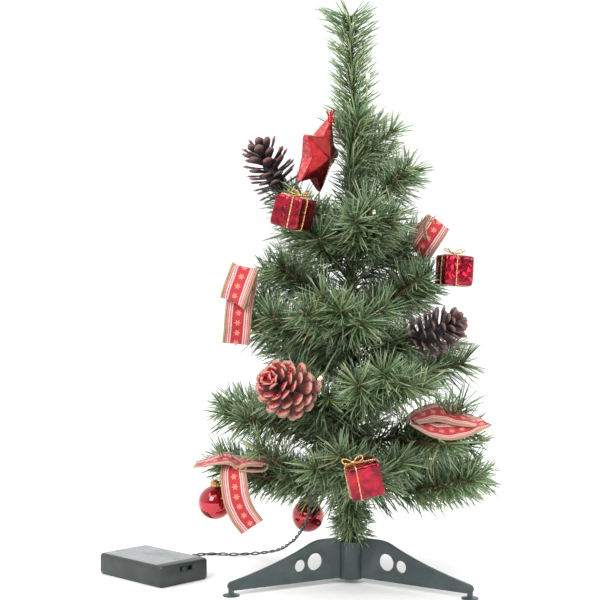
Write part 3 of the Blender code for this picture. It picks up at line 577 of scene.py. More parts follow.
def clearings():
    # Room in front of the decorations that needles would hide, where they are pressed aside.
    boxes = []
    for name in nodes:
        if name.startswith(("ribbon_", "gift_", "cone_front", "cone_right", "bauble_left", "star")):
            low, high = (np.array(corner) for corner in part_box(name))
            inset = np.array((0.002, 0.0, 0.002))
            boxes.append((low + inset - (0.0, 0.030, 0.0), high - inset - (0.0, 0.004, 0.0)))
    return boxes


openViews = clearings()


def cadCorners(name):
    return np.array([vertex.co for vertex in nodes[name].data.vertices])


def limbLine(name):
    # Where a CAD branch starts, and where its tip is: its corner furthest from its hinge.
    root = np.array(joints[name + "_fold"]["pos_m"])
    corners = cadCorners(name)
    tip = corners[np.linalg.norm(corners - root, axis=1).argmax()]
    return root, tip


def twigLine(start, aim, length, rise, swing):
    # start + aim * length * t, lifted by rise * t^2 and swung sideways by swing * t^2.
    t = np.linspace(0.0, 1.0, brush["linePoints"])[:, None]
    across = unit(np.cross((0.0, 0.0, 1.0), aim))
    return start + aim * length * t + np.array((0.0, 0.0, rise)) * t**2 + across * swing * t**2


# How each branch is fanned: its side twigs as (share along it, turn, lift in degrees, length share)
fans = {
    "default": [
        (0.26, 40.0, 6.0, 0.60), (0.36, -40.0, -4.0, 0.62), (0.52, 30.0, -12.0, 0.42),
        (0.60, -26.0, 16.0, 0.38),
    ],
    "branch_01": [(0.26, 40.0, 6.0, 0.60), (0.36, -40.0, -4.0, 0.62), (0.52, 30.0, -12.0, 0.42)],
    "branch_19": [(0.26, 40.0, 6.0, 0.60), (0.52, 30.0, -12.0, 0.42), (0.40, -26.0, -24.0, 0.36)],
    "branch_24": [(0.40, 34.0, 4.0, 0.50), (0.45, -34.0, 0.0, 0.50)],
    "branch_25": [(0.40, 34.0, 4.0, 0.50), (0.45, -34.0, 0.0, 0.50)],
}


def branchLines(name, rng):
    root, tip = limbLine(name)
    aim = unit(tip - root)
    length = float(np.linalg.norm(tip - root))
    lines = [twigLine(root, aim, length - brush["short"], 0.0, 0.0)]
    level = unit(np.cross((0.0, 0.0, 1.0), aim))
    upright = np.cross(aim, level)
    for share, turn, lift, portion in fans.get(name, fans["default"]):
        turn = math.radians(turn + rng.normal(0.0, 6.0))
        lift = math.radians(lift + rng.normal(0.0, 6.0))
        way = aim * math.cos(turn) + level * math.sin(turn)
        way = unit(way * math.cos(lift) + upright * math.sin(lift))
        start = root + aim * length * share
        lines.append(twigLine(start, way, length * portion, rng.normal(0.003, 0.003), rng.normal(0.0, 0.003)))
    return lines


def addBranch(name, seed):
    rng = np.random.default_rng(seed)
    lines = branchLines(name, rng)
    hairs = [bristles(line, rng, skip=0.07 if row == 0 else 0.0) for row, line in enumerate(lines)]
    points, faces, maps = gathered(hairs)
    limb = name + "_limb"
    addPiece(name + "_needles", meshFrom(name, points, faces, maps), limb, needlePlastic, [name])
    wire, apart, pitch = brush["stem"], brush["stem"] * 1.02, brush["stemPitch"]
    stems = [twistedPair(evenly(line, brush["stemStep"]), wire, apart, pitch, 6) for line in lines]
    points, faces, _ = gathered(stems)
    addPiece(name + "_stems", meshFrom(name + "_stems", points, faces), limb, stemWire)


def addBranches():
    names = sorted(name for name in nodes if name.startswith("branch_"))
    for number, name in enumerate(names):
        addBranch(name, 100 + number)
    print("branches:", len(names))


def addLeader():
    # The top shoot, with short side shoots over its lower third, and the tuft that fans out at its top.
    low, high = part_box("leader")
    rng = np.random.default_rng(7)
    middle = (low + high) / 2
    foot = np.array((middle.x, middle.y, low.z))
    upright = np.array((0.0, 0.0, 1.0))
    top = twigLine(foot, upright, high.z - low.z - brush["shortTop"], 0.0, 0.0)
    lines = [top + np.array((0.0016, 0.0, 0.0)) * np.sin(np.linspace(0.0, 4.0, len(top)))[:, None]]
    for rise, turn, lean, reach in leaderShoots:
        way = heading(turn) * math.sin(math.radians(lean)) + upright * math.cos(math.radians(lean))
        lines.append(twigLine(foot + upright * rise, way, reach, 0.002, 0.0))
    hairs = [
        bristles(
            lines[0], rng, perMetre=4900.0, needle=0.0262, lean=54.0, leanAtTip=68.0, tuft=False, taper=-0.04
        )
    ]
    hairs += [bristles(line, rng, needle=0.0225, lean=54.0, leanAtTip=36.0) for line in lines[1:]]
    points, faces, maps = gathered(hairs)
    mesh = meshFrom("leader_needles", points, faces, maps)
    addPiece("leader_needles", mesh, "stand", needlePlastic, ["leader"])
    stems = [
        twistedPair(evenly(line, brush["stemStep"]), 0.0008, 0.0008, brush["stemPitch"], 6) for line in lines
    ]
    points, faces, _ = gathered(stems)
    addPiece("leader_stem", meshFrom("leader_stem", points, faces), "stand", stemWire)


# The leader's side shoots: height above its foot, heading, lean from upright, length
leaderShoots = [
    (-0.008, -4.0, 52.0, 0.042), (0.000, 30.0, 44.0, 0.034), (0.004, 190.0, 34.0, 0.020),
    (0.010, -70.0, 36.0, 0.022), (0.018, 100.0, 34.0, 0.020),
]


def addSkirt():
    # The needles of the pole itself: shaggy, sticking out and hanging below the branches, upward above.
    rng = np.random.default_rng(11)
    low = np.array([(0.0, 0.0, z) for z in np.linspace(0.116, 0.0470, 30)])
    frill = np.array([(0.0, 0.0, z) for z in np.linspace(0.060, 0.0345, 18)])
    high = np.array([(0.0, 0.0, z) for z in np.linspace(0.10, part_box("leader")[0].z, 60)])
    hairs = [
        bristles(
            low, rng, perMetre=15000.0, needle=0.0195, lean=64.0, leanAtTip=60.0, shaggy=2.6, tuft=False,
            taper=0.0,
        ),
        bristles(
            frill, rng, perMetre=17000.0, needle=0.0180, lean=76.0, leanAtTip=86.0, shaggy=2.4, tuft=False,
            taper=0.0,
        ),
        bristles(
            high, rng, perMetre=5200.0, needle=0.0230, lean=62.0, leanAtTip=50.0, shaggy=1.4, tuft=False
        ),
    ]
    points, faces, maps = gathered(hairs)
    addPiece("pole_needles", meshFrom("pole_needles", points, faces, maps), "stand", needlePlastic)


addBranches()
addLeader()
addSkirt()


# Decorations

def rippled(points, rng, waves, height):
    # The sum of triangle waves along random directions, which meet in sharp creases.
    total = np.zeros(len(points))
    for _ in range(waves):
        way = unit(rng.normal(size=3))
        turns = points @ way * rng.uniform(90.0, 330.0) + rng.uniform(0.0, math.tau)
        wave = np.abs((turns / math.pi) % 2.0 - 1.0) * 2.0 - 1.0
        total += wave * rng.uniform(0.4, 1.0)
    return total * height / math.sqrt(waves)


def nodeMiddle(name):
    low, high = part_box(name)
    return np.array((low + high) / 2)


def turnMatrix(degrees):
    return np.array(Euler([math.radians(angle) for angle in degrees]).to_matrix())


def foilFinish(name, dark, light, roughness, creases):
    # Pressed foil: broad creases that catch the light, and a gloss that varies finely between them.
    finish, tree, shader = newFinish(name)
    place = node(tree, "TexCoord").outputs["Object"]
    drift = noise(tree, place, 150.0, 3.0)
    tree.links.new(ramp(tree, drift, [(0.35, dark), (0.65, light)]), shader.inputs["Base Color"])
    rough = mapped(tree, noise(tree, place, 700.0, 2.0), 0.0, 1.0, *roughness)
    tree.links.new(rough, shader.inputs["Roughness"])
    crease = node(tree, "TexVoronoi", {"Vector": place, "Scale": creases[0]}, feature="DISTANCE_TO_EDGE")
    emboss(tree, shader, crease.outputs["Distance"], creases[1], creases[2])
    shader.inputs["Metallic"].default_value = 0.9
    shader.inputs["Coat Weight"].default_value = 0.4
    return finish


giftFoil = foilFinish("giftFoil", linear(104, 8, 28), linear(178, 24, 48), (0.10, 0.22), (170.0, 0.6, 0.0016))
starGloss = foilFinish(
    "starGloss", linear(140, 8, 18), linear(184, 18, 28), (0.05, 0.13), (70.0, 0.25, 0.0012)
)
starFrost = mottled(
    "starFrost", [linear(150, 44, 48), linear(176, 66, 68), linear(200, 104, 100)], 420.0, (0.34, 0.5),
    bump=(3600.0, 0.8, 0.0002), metallic=0.5,
)
baubleLacquer = mottled(
    "baubleLacquer", [linear(150, 10, 28), linear(176, 16, 36), linear(190, 24, 44)], 60.0, (0.05, 0.1),
    bump=(160.0, 0.04, 0.0004), metallic=0.7, **{"Coat Weight": 1.0, "Coat Roughness": 0.03},
)
capFoil = mottled(
    "capFoil", [linear(176, 120, 62), linear(214, 160, 96), linear(230, 190, 130)], 600.0, (0.2, 0.35),
    bump=(2400.0, 0.4, 0.0002), metallic=1.0,
)


gift = {
    "square": 11.0,
    "crease": 0.00030,
    "grid": 26,
    "cord": 0.00048,
    "turns": {
        "gift_front": (8.0, -12.0, 6.0), "gift_right": (0.0, 4.0, 14.0), "gift_left": (0.0, 14.0, -30.0)
    },
    "half": 0.0124,
    "bow": 0.0068,
    "bowAt": {"gift_front": (-0.45, -0.2), "gift_right": (-0.2, -0.3), "gift_left": (0.35, -0.3)},
    "limbs": {"gift_front": "branch_05_limb", "gift_right": "branch_17_limb", "gift_left": "branch_20_limb"},
}


def roundedBox(half, square, grid):
    # A cube's grid drawn onto the shape |x|^n + |y|^n + |z|^n = half^n, a box with soft corners.
    t = np.linspace(-1.0, 1.0, grid + 1)
    u, v = np.meshgrid(t, t, indexing="ij")
    u, v = np.sin(u * math.pi / 2 * 0.92) / math.sin(math.pi / 2 * 0.92), np.sin(
        v * math.pi / 2 * 0.92
    ) / math.sin(math.pi / 2 * 0.92)
    one = np.ones_like(u)
    sheets = [(one, u, v), (-one, v, u), (v, one, u), (u, -one, v), (u, v, one), (v, u, -one)]
    points = np.concatenate([np.stack(sheet, -1).reshape(-1, 3) for sheet in sheets])
    row, column = np.meshgrid(np.arange(grid), np.arange(grid), indexing="ij")
    here = row * (grid + 1) + column
    quads = np.stack([here, here + grid + 1, here + grid + 2, here + 1], -1).reshape(-1, 4)
    faces = np.concatenate([quads + number * (grid + 1) ** 2 for number in range(6)])
    size = (np.abs(points) ** square).sum(1, keepdims=True) ** (1.0 / square)
    return points / size * half, faces


def welded(mesh, distance=1e-6):
    # Joins corners that meet, and turns the faces outward.
    shape = bmesh.new()
    shape.from_mesh(mesh)
    bmesh.ops.remove_doubles(shape, verts=shape.verts[:], dist=distance)
    bmesh.ops.recalc_face_normals(shape, faces=shape.faces[:])
    shape.to_mesh(mesh)
    shape.free()
    return mesh


def ropeLine(line, radius):
    # A cord of two strands, each turning about the cord's own line.
    line = evenly(line, radius * 0.9)
    return twistedPair(line, radius * 0.62, radius * 0.5, radius * 6.5, 6)[:2]


def boxLoop(half, level):
    # A closed square loop with rounded corners just outside the box, in the plane level = 0.
    angle = np.linspace(0.0, math.tau, 97)
    ring = np.stack([np.cos(angle), np.sin(angle)], 1)
    ring = ring / (np.abs(ring) ** 14.0).sum(1, keepdims=True) ** (1.0 / 14.0) * half
    line = np.zeros((97, 3))
    line[:, [axis for axis in range(3) if axis != level]] = ring
    return line


def bowLoops(rng, size):
    # Two loops and two tails of cord over the middle: each a curve through a few points.
    shapes = []
    for side in (-1.0, 1.0):
        lean = rng.uniform(-0.25, 0.25)
        loop = [
            (0.0, 0.0, 0.0), (side * 0.45, 0.25 + lean, 0.45), (side * 1.0, 0.30 + lean, 0.62),
            (side * 1.12, -0.05 + lean, 0.38), (side * 0.65, -0.32, 0.16), (0.0, 0.0, 0.04),
        ]
        tail = [
            (0.0, 0.0, 0.03), (side * 0.35, -0.35, 0.16), (side * 0.75, -0.75 + lean, 0.20),
            (side * 1.05, -1.05 + lean, 0.48 + rng.uniform(-0.2, 0.25)),
        ]
        shapes += [np.array(loop) * size, np.array(tail) * size]
    return shapes


def addGift(name, seed):
    rng = np.random.default_rng(seed)
    middle, turn = nodeMiddle(name), turnMatrix(gift["turns"][name])
    points, faces = roundedBox(gift["half"], gift["square"], gift["grid"])
    outward = unit(points)
    crinkle = rippled(points, rng, 7, gift["crease"])
    pinch = -0.0006 * np.exp(-((np.abs(points[:, 0]) / 0.0012) ** 2)) - 0.0006 * np.exp(
        -((np.abs(points[:, 1]) / 0.0012) ** 2)
    )
    points = points + outward * (crinkle + pinch)[:, None]
    mesh = meshFrom(name + "_foil", points @ turn.T + middle, [faces])
    welded(mesh, 2e-5)
    mesh.shade_smooth()
    limb = gift["limbs"][name]
    addPiece(name + "_foil", mesh, limb, giftFoil, [name])
    half, cord = gift["half"], gift["cord"]
    right, back = np.array(gift["bowAt"][name]) * half
    outside = half + cord * 0.2
    shapes = [
        ropeLine(boxLoop(outside, 0) + (right, 0.0, 0.0), cord),
        ropeLine(boxLoop(outside, 1) + (0.0, back, 0.0), cord),
    ]
    knotAt = np.array((right, back, half + 0.0006))
    for line in bowLoops(rng, gift["bow"]):
        shapes.append(ropeLine(evenRoute(line + knotAt, 0.0006), cord))
    profile = [(0.0, -0.0012), (0.0011, -0.0008), (0.0015, 0.0), (0.0011, 0.0008), (0.0, 0.0012)]
    knot = turned(profile, knotAt + (0.0, 0.0, 0.0006), (0.2, 1.0, 0.1), 14)
    points, faces, _ = gathered([*shapes, knot])
    addPiece(
        name + "_cord", meshFrom(name + "_cord", points @ turn.T + middle, faces), limb, goldFoil
    )


bauble = {"bauble_left": "bauble_left_hung", "bauble_rear": "bauble_rear_hung"}


def addBauble(name, body):
    low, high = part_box(name)
    radius = (high.x - low.x) / 2
    capLow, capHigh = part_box(name + "_cap")
    hook = np.array(joints[body.replace("_hung", "_swing")]["pos_m"])
    axis = np.array((0.0, 0.0, 1.0))
    centre = np.array(((low.x + high.x) / 2, (low.y + high.y) / 2, low.z + radius))
    angle = np.linspace(0.0, math.pi, 49)
    ball = np.stack([radius * np.sin(angle), -radius * np.cos(angle)], 1)
    ball[[0, -1], 0] = 0.0
    points, faces = turned(ball, centre, axis, 72)
    addPiece(name + "_ball", meshFrom(name, points, faces), body, baubleLacquer, [name])
    capRadius = (capHigh.x - capLow.x) / 2
    rings = [
        (0.0, -0.0006), (0.96, -0.0006), (1.0, -0.0003), (1.0, 0.0008), (0.94, 0.0022), (0.92, 0.0030),
        (0.74, 0.0036),
        (0.3, 0.0040), (0.16, 0.0042), (0.16, 0.0048), (0.0, 0.0050),
    ]
    points, faces = turned([(capRadius * share, height) for share, height in rings], np.zeros(3), axis, 64)
    flute = 1.0 + 0.055 * np.cos(18.0 * np.arctan2(points[:, 1], points[:, 0])) * (points[:, 2] < 0.0031)
    points[:, :2] *= flute[:, None]
    base = np.array((centre[0], centre[1], capLow.z))
    turn = np.linspace(0.0, math.tau, 33)
    top = float(capHigh.z - capLow.z)
    eye = np.stack([0.0017 * np.sin(turn), 0.0 * turn, 0.0055 + 0.0017 * np.cos(turn)], 1)
    wire = tube(eye, 0.00032, 8)
    reach = hook - base
    thread = evenRoute(
        [(0.0003, 0.0, 0.0070), reach * (0.3, 0.3, 0.0) + (0.0004, 0.0002, top), reach + (0.0, 0.0, 0.0004)],
        0.0004,
    )
    points, faces, _ = gathered([(points, faces), wire, tube(thread, 0.00028, 6)])
    addPiece(
        name + "_crown", meshFrom(name + "_crown", points + base, faces), body, capFoil,
        [name + "_cap"],
    )


star = {
    "radius": 0.0325, "inner": 0.0160, "depth": 0.0118, "rim": 0.0019, "turn": (15.1, 7.9, 63.0),
    "frosted": range(20, 30),
}


def addStar():
    # Ten rim corners, near and far, and two peaks; every facet is flat and the edges are rounded after.
    hook = np.array(joints["star_swing"]["pos_m"])
    angle = np.radians(90.0 + 36.0 * np.arange(10))
    reach = np.where(np.arange(10) % 2 == 0, star["radius"] - 0.0006, star["inner"] + 0.0012)
    rim = np.stack([reach * np.cos(angle), 0.0 * angle, reach * np.sin(angle) - star["radius"]], 1)
    thick = np.where(
        np.arange(10) % 2 == 0, star["rim"], star["rim"] * 2.6
    )[:, None] * np.array((0.0, 1.0, 0.0))
    peaks = np.array([(0.0, -star["depth"], -star["radius"]), (0.0, star["depth"], -star["radius"])])
    points = np.vstack([rim - thick, rim + thick, peaks])
    here, beside = np.arange(10), (np.arange(10) + 1) % 10
    near = np.stack([here, beside, np.full(10, 20)], 1)
    far = np.stack([beside + 10, here + 10, np.full(10, 21)], 1)
    edge = np.stack([beside, here, here + 10, beside + 10], 1)
    mesh = meshFrom(
        "star_foil", points @ turnMatrix(star["turn"]).T + hook - (0.0, 0.0, gap), [near, far, edge]
    )
    welded(mesh)
    mesh.shade_flat()
    piece = addPiece("star_foil", mesh, "star_hung", [starGloss, starFrost], ["star"])
    for face in mesh.polygons:
        face.material_index = int(face.index in star["frosted"])
    bevel = piece.modifiers.new("edges", "BEVEL")
    bevel.width, bevel.segments, bevel.limit_method = 0.0017, 4, "ANGLE"
    bevel.angle_limit = math.radians(14.0)
    bevel.harden_normals = True
    neck = turned(
        [
            (0.0, -0.0050), (0.0036, -0.0046), (0.0026, -0.0022), (0.0019, 0.0), (0.0021, 0.0016),
            (0.0, 0.0020),
        ],
        hook - (0.0, 0.0, 0.0006), (-0.1, 0.0, 1.0), 20,
    )
    rng = np.random.default_rng(31)
    strips = []
    for number in range(9):
        turn = number * math.tau / 9 + rng.normal(0.0, 0.2)
        way = np.array((math.cos(turn), math.sin(turn), 0.0))
        low = hook + way * 0.0012 + (0.0, 0.0, -0.0004)
        high = hook + way * 0.0042 + (0.0, 0.0, 0.0048 + rng.uniform(-0.001, 0.001))
        strips.append(
            tube(
                evenRoute([low, (low + high) / 2 + (0.0, 0.0, 0.0008), high], 0.0006), 0.00055, 6, squash=0.5
            )[:2]
        )
    points, faces, _ = gathered([neck, *strips])
    addPiece("star_neck", meshFrom("star_neck", points, faces), "star_hung", starGloss)


cone = {
    "cone_front": {
        "limb": "branch_09_limb", "scales": 64, "glitter": 1500, "tone": "frosted", "shape": "closed",
        "reach": 1.0,
    },
    "cone_right": {
        "limb": "branch_13_limb", "scales": 56, "glitter": 60, "tone": "brown", "shape": "open", "reach": 0.86
    },
    "cone_left": {
        "limb": "branch_23_limb", "scales": 58, "glitter": 200, "tone": "brown", "shape": "open",
        "reach": 0.94,
    },
}


def coneFinish(name, core, middle, rim):
    # The map's height runs along a scale: dark by the core, woody, and pale on its thick rim.
    finish, tree, shader = newFinish(name)
    flat = node(tree, "UVMap", uv_map=mapName).outputs["UV"]
    parts = node(tree, "SeparateXYZ", {"Vector": flat})
    place = node(tree, "TexCoord").outputs["Object"]
    grain = noise(tree, place, 900.0, 4.0)
    drift = maths(tree, "MULTIPLY_ADD", grain, 0.22, -0.11)
    along = maths(tree, "ADD", parts.outputs["Y"], drift)
    tone = ramp(tree, along, [(0.12, core), (0.5, middle), (0.74, middle), (0.9, rim)])
    tree.links.new(tone, shader.inputs["Base Color"])
    emboss(tree, shader, grain, 0.7, 0.0004)
    shader.inputs["Roughness"].default_value = 0.62
    return finish


# How a cone's scales stand from its foot to its nose: reach as a share of its radius, and lift in degrees
coneShapes = {
    "closed": ([0.80, 1.0, 1.0, 0.84, 0.54, 0.26], [-14.0, 4.0, 22.0, 60.0]),
    "open": ([0.80, 1.0, 1.06, 1.02, 0.86, 0.50], [-16.0, 4.0, 20.0, 56.0]),
}
coneFinishes = {
    "brown": coneFinish("coneBrown", linear(20, 12, 15), linear(54, 36, 38), linear(108, 84, 80)),
    "frosted": coneFinish("coneFrosted", linear(34, 16, 20), linear(112, 60, 58), linear(172, 130, 114)),
}
redGlitter = mottled(
    "redGlitter", [
        linear(150, 10, 22), linear(206, 24, 40), linear(232, 70, 80)
    ], 900.0, (0.12, 0.3), metallic=0.6,
)


def coneScales(rng, length, radius, count, shape):
    # A scale's middle line leaves the core and curls outward; its lens-shaped profile widens to a
    # round thick rim. Each scale is turned by the golden angle and set a step higher than the last.
    rows, sides = 8, 8
    t = np.linspace(0.0, 1.0, rows)
    angle = np.linspace(0.0, math.tau, sides, endpoint=False)
    shapes, rims = [], []
    for number in range(count):
        share = number / (count - 1)
        height = length * (0.05 + 0.84 * share**1.05)
        belly = np.interp(share, [0.0, 0.12, 0.38, 0.62, 0.85, 1.0], coneShapes[shape][0])
        lift = math.radians(
            np.interp(share, [0.0, 0.25, 0.6, 1.0], coneShapes[shape][1]) + rng.normal(0.0, 5.0)
        )
        reach = radius * belly * rng.uniform(0.92, 1.04) / math.cos(lift * 0.6)
        turn = number * goldenAngle + rng.normal(0.0, 0.05)
        out = np.array((math.cos(turn), math.sin(turn), 0.0))
        side = np.array((-math.sin(turn), math.cos(turn), 0.0))
        rise = np.array((0.0, 0.0, 1.0))
        run = reach * t
        line = out * (run * math.cos(lift))[:, None] + rise * (
            height + run * math.sin(lift) + 0.0022 * t**2
        )[:, None]
        wide = radius * 0.29 * (0.55 + 0.45 * belly)
        half = wide * (0.22 + 0.78 * t**1.3) * np.sqrt(
            np.clip(1.0 - np.clip((t - 0.72) / 0.30, 0, 1) ** 2, 0.05, 1.0)
        )
        thick = (0.00045 + 0.00055 * t**2.2) * np.sqrt(
            np.clip(1.0 - np.clip((t - 0.88) / 0.13, 0, 1) ** 2, 0.12, 1.0)
        )
        normal = unit(np.cross(np.gradient(line, axis=0), side))
        across = side * np.cos(angle)[None, :, None] * half[:, None, None]
        up = normal[:, None] * (
            np.sin(angle)[None, :, None] - 0.6 * np.cos(angle)[None, :, None] ** 2
        ) * thick[:, None, None]
        points, faces = carried(line, across, up)
        column = (0.5 + 0.45 * np.cos(angle) + 0.02 * np.sin(angle)) * 0.9 / 8 + (number % 8) / 8 + 0.005
        maps = np.stack(
            [
                np.broadcast_to(column, (rows, sides)),
                np.broadcast_to(t[:, None] * 0.94 + 0.03, (rows, sides)),
            ],
            -1,
        )
        ends = np.array([(column.mean(), 0.01), (column.mean(), 0.99)])
        shapes.append((points, faces, np.vstack([maps.reshape(-1, 2), ends])))
        rims.append((line[-2], out * math.cos(lift) + rise * math.sin(lift), side, half[-3], normal[-2]))
    return shapes, rims


def alongAxis(points, root, axis):
    # Turns +Z onto axis and moves the origin to root.
    side = unit(np.cross((0.0, 0.0, 1.0), axis))
    return points[:, :1] * side + points[:, 1:2] * np.cross(axis, side) + points[:, 2:] * axis + root


def glitterBits(centres, sizes, rng):
    # Small octahedra, each turned its own way: centre plus and minus size along three directions.
    count = len(centres)
    first = unit(rng.normal(size=(count, 3)))
    second = unit(np.cross(first, rng.normal(size=(count, 3))))
    third = np.cross(first, second)
    ways = np.stack([first, -first, second, -second, third, -third], 1)
    points = (centres[:, None] + ways * sizes[:, None, None]).reshape(-1, 3)
    tris = np.array([(0, 2, 4), (2, 1, 4), (1, 3, 4), (3, 0, 4), (2, 0, 5), (1, 2, 5), (3, 1, 5), (0, 3, 5)])
    return points, [(tris[None] + (np.arange(count) * 6)[:, None, None]).reshape(-1, 3)]


def addCone(name, seed):
    settings = cone[name]
    rng = np.random.default_rng(seed)
    _, branchTip = limbLine(settings["limb"].replace("_limb", ""))
    corners = cadCorners(name)
    axis = unit(corners[np.linalg.norm(corners - branchTip, axis=1).argmax()] - branchTip)
    heights = (corners - branchTip) @ axis
    away = np.linalg.norm((corners - branchTip) - heights[:, None] * axis, axis=1)
    length, radius = float(heights.max()), float(away.max())
    length *= settings["reach"]
    shapes, rims = coneScales(rng, length, radius, settings["scales"], settings["shape"])
    core = [(0.0, 0.0)] + [
        (radius * 0.30 * math.sin(math.pi * (0.12 + 0.88 * share) ** 0.8) + 0.0012, length * 0.9 * share)
        for share in np.linspace(0.02, 0.98, 12)
    ] + [(0.0, length * 0.9)]
    corePoints, coreFaces = turned(core, np.zeros(3), (0.0, 0.0, 1.0), 20)
    coreMaps = np.column_stack([np.linspace(0.01, 0.99, len(corePoints)), np.full(len(corePoints), 0.02)])
    points, faces, maps = gathered([*shapes, (corePoints, coreFaces, coreMaps)])
    mesh = meshFrom(name + "_scales", alongAxis(points, branchTip, axis), faces, maps)
    addPiece(name + "_scales", mesh, settings["limb"], coneFinishes[settings["tone"]], [name])
    pick = rng.integers(len(rims) // 8, len(rims), settings["glitter"])
    if settings["tone"] == "brown":
        pick = rng.integers(len(rims) // 2, len(rims), settings["glitter"])
    else:
        pick[::2] = rng.integers(len(rims) // 2, len(rims), len(pick[::2]))
    ends = [np.array([rims[number][part] for number in pick]) for part in (0, 1, 2, 4)]
    halves = np.array([rims[number][3] for number in pick])
    spread = rng.normal(0.0, 0.42, len(pick))
    centres = ends[0] + ends[1] * rng.normal(0.0002, 0.0007, len(pick))[:, None]
    centres += ends[2] * (halves * np.clip(spread, -0.9, 0.9))[:, None] + ends[3] * rng.normal(
        0.0009, 0.0003, len(pick)
    )[:, None]
    bits, bitFaces = glitterBits(centres, rng.uniform(0.00030, 0.00065, len(pick)), rng)
    mesh = meshFrom(name + "_glitter", alongAxis(bits, branchTip, axis), bitFaces, flatFaces=True)
    addPiece(name + "_glitter", mesh, settings["limb"], redGlitter)


for number, name in enumerate(gift["limbs"]):
    addGift(name, 40 + number)
for name, body in bauble.items():
    addBauble(name, body)
addStar()
for number, name in enumerate(cone):
    addCone(name, 60 + number)
print("decorations done")


# Ribbons: wired cloth strips, laid in loops and tails

ribbon = {
    "width": 0.0215, "thick": 0.00042, "edge": 0.00050, "columns": 15, "spacing": 0.0012, "stars": 0.0080
}


def ribbonFinish():
    finish, tree, shader = newFinish("ribbonCloth")
    flat = node(tree, "UVMap", uv_map=mapName).outputs["UV"]
    parts = node(tree, "SeparateXYZ", {"Vector": flat})
    across, along = parts.outputs["X"], parts.outputs["Y"]
    away = maths(tree, "ABSOLUTE", maths(tree, "MULTIPLY_ADD", across, 2.0, -1.0))
    beige, pale, white = linear(160, 140, 100), linear(206, 130, 124), linear(226, 196, 188)
    dark, red = linear(112, 40, 44), linear(184, 26, 40)
    tone = ramp(tree, away, [
        (0.0, red), (0.40, dark), (0.43, white), (0.50, pale), (0.57, dark), (0.60, white),
        (0.68, red), (0.73, pale), (0.83, dark), (0.87, beige),
    ], smooth=False)
    scale = ribbon["width"] / ribbon["stars"]
    metres = node(tree, "Attribute", attribute_name="stripLength").outputs["Fac"]
    step = maths(
        tree, "FRACT", maths(tree, "DIVIDE", maths(tree, "MULTIPLY", along, metres), ribbon["stars"])
    )
    x = maths(tree, "MULTIPLY", maths(tree, "SUBTRACT", across, 0.5), scale)
    y = maths(tree, "SUBTRACT", step, 0.5)
    spin = maths(tree, "ARCTAN2", y, x)
    lobes = maths(
        tree, "MULTIPLY_ADD", maths(tree, "COSINE", maths(tree, "MULTIPLY", spin, 6.0)), 0.085, 0.235
    )
    starred = maths(tree, "LESS_THAN", distance(tree, x, y), lobes)
    tone = colourMix(tree, maths(tree, "MULTIPLY", starred, 0.62), tone, linear(222, 160, 130))
    fineness = node(tree, "CombineXYZ", {
        "X": maths(tree, "MULTIPLY", across, 60.0),
        "Y": maths(tree, "MULTIPLY", maths(tree, "MULTIPLY", along, metres), 60.0 / ribbon["width"]),
    }).outputs["Vector"]
    weave = node(tree, "TexChecker", {"Vector": fineness, "Scale": 1.0}).outputs["Fac"]
    wear = noise(tree, fineness, 0.35, 2.0)
    shade = maths(
        tree, "ADD", maths(tree, "MULTIPLY", weave, 0.12), maths(tree, "MULTIPLY_ADD", wear, 0.3, 0.72)
    )
    tree.links.new(scaled(tree, tone, shade), shader.inputs["Base Color"])
    emboss(tree, shader, weave, 0.35, 0.0002)
    shader.inputs["Roughness"].default_value = 0.7
    shader.inputs["Sheen Weight"].default_value = 0.25
    return finish


ribbonCloth = ribbonFinish()


def strip(route, acrossWays, cup, ripple):
    # A flat profile with a small bead at both edges, carried along the route: across by u, off the
    # cloth by half its thickness, plus a cup of (2u - 1)^2 and a ripple along it.
    line = evenRoute(route, ribbon["spacing"])
    share = np.linspace(0.0, 1.0, len(line))
    stations = np.linspace(0.0, 1.0, len(acrossWays))
    ways = between(share, stations, np.array(acrossWays, float))
    tangent = unit(np.gradient(line, axis=0))
    ways = unit(ways - tangent * (ways * tangent).sum(1, keepdims=True))
    normal = np.cross(tangent, ways)
    u = np.linspace(0.0, 1.0, ribbon["columns"])
    bead = np.where((u < 0.02) | (u > 0.98), ribbon["edge"], ribbon["thick"] / 2)
    u = np.concatenate([u, u[::-1]])
    off = np.concatenate([bead, -bead])
    inset = np.concatenate([np.zeros(ribbon["columns"]), np.full(ribbon["columns"], 0.004)])
    maps = np.clip(u + np.where(u < 0.5, inset, -inset), 0.0, 1.0)
    wave = ripple * np.sin(share * lengthOf(line) * 420.0 + 1.0)[:, None] * np.sin(u * math.pi * 2.0)[None]
    height = off[None] + cup * (2.0 * u[None] - 1.0) ** 2 + wave
    across = ways[:, None] * ((u - 0.5) * ribbon["width"])[None, :, None]
    up = normal[:, None] * height[..., None]
    points, faces = carried(line, across, up)
    grid = np.stack([np.broadcast_to(maps, height.shape), np.broadcast_to(share[:, None], height.shape)], -1)
    uv = np.vstack([grid.reshape(-1, 2), [(0.5, 0.0), (0.5, 1.0)]])
    return points, faces, uv, line


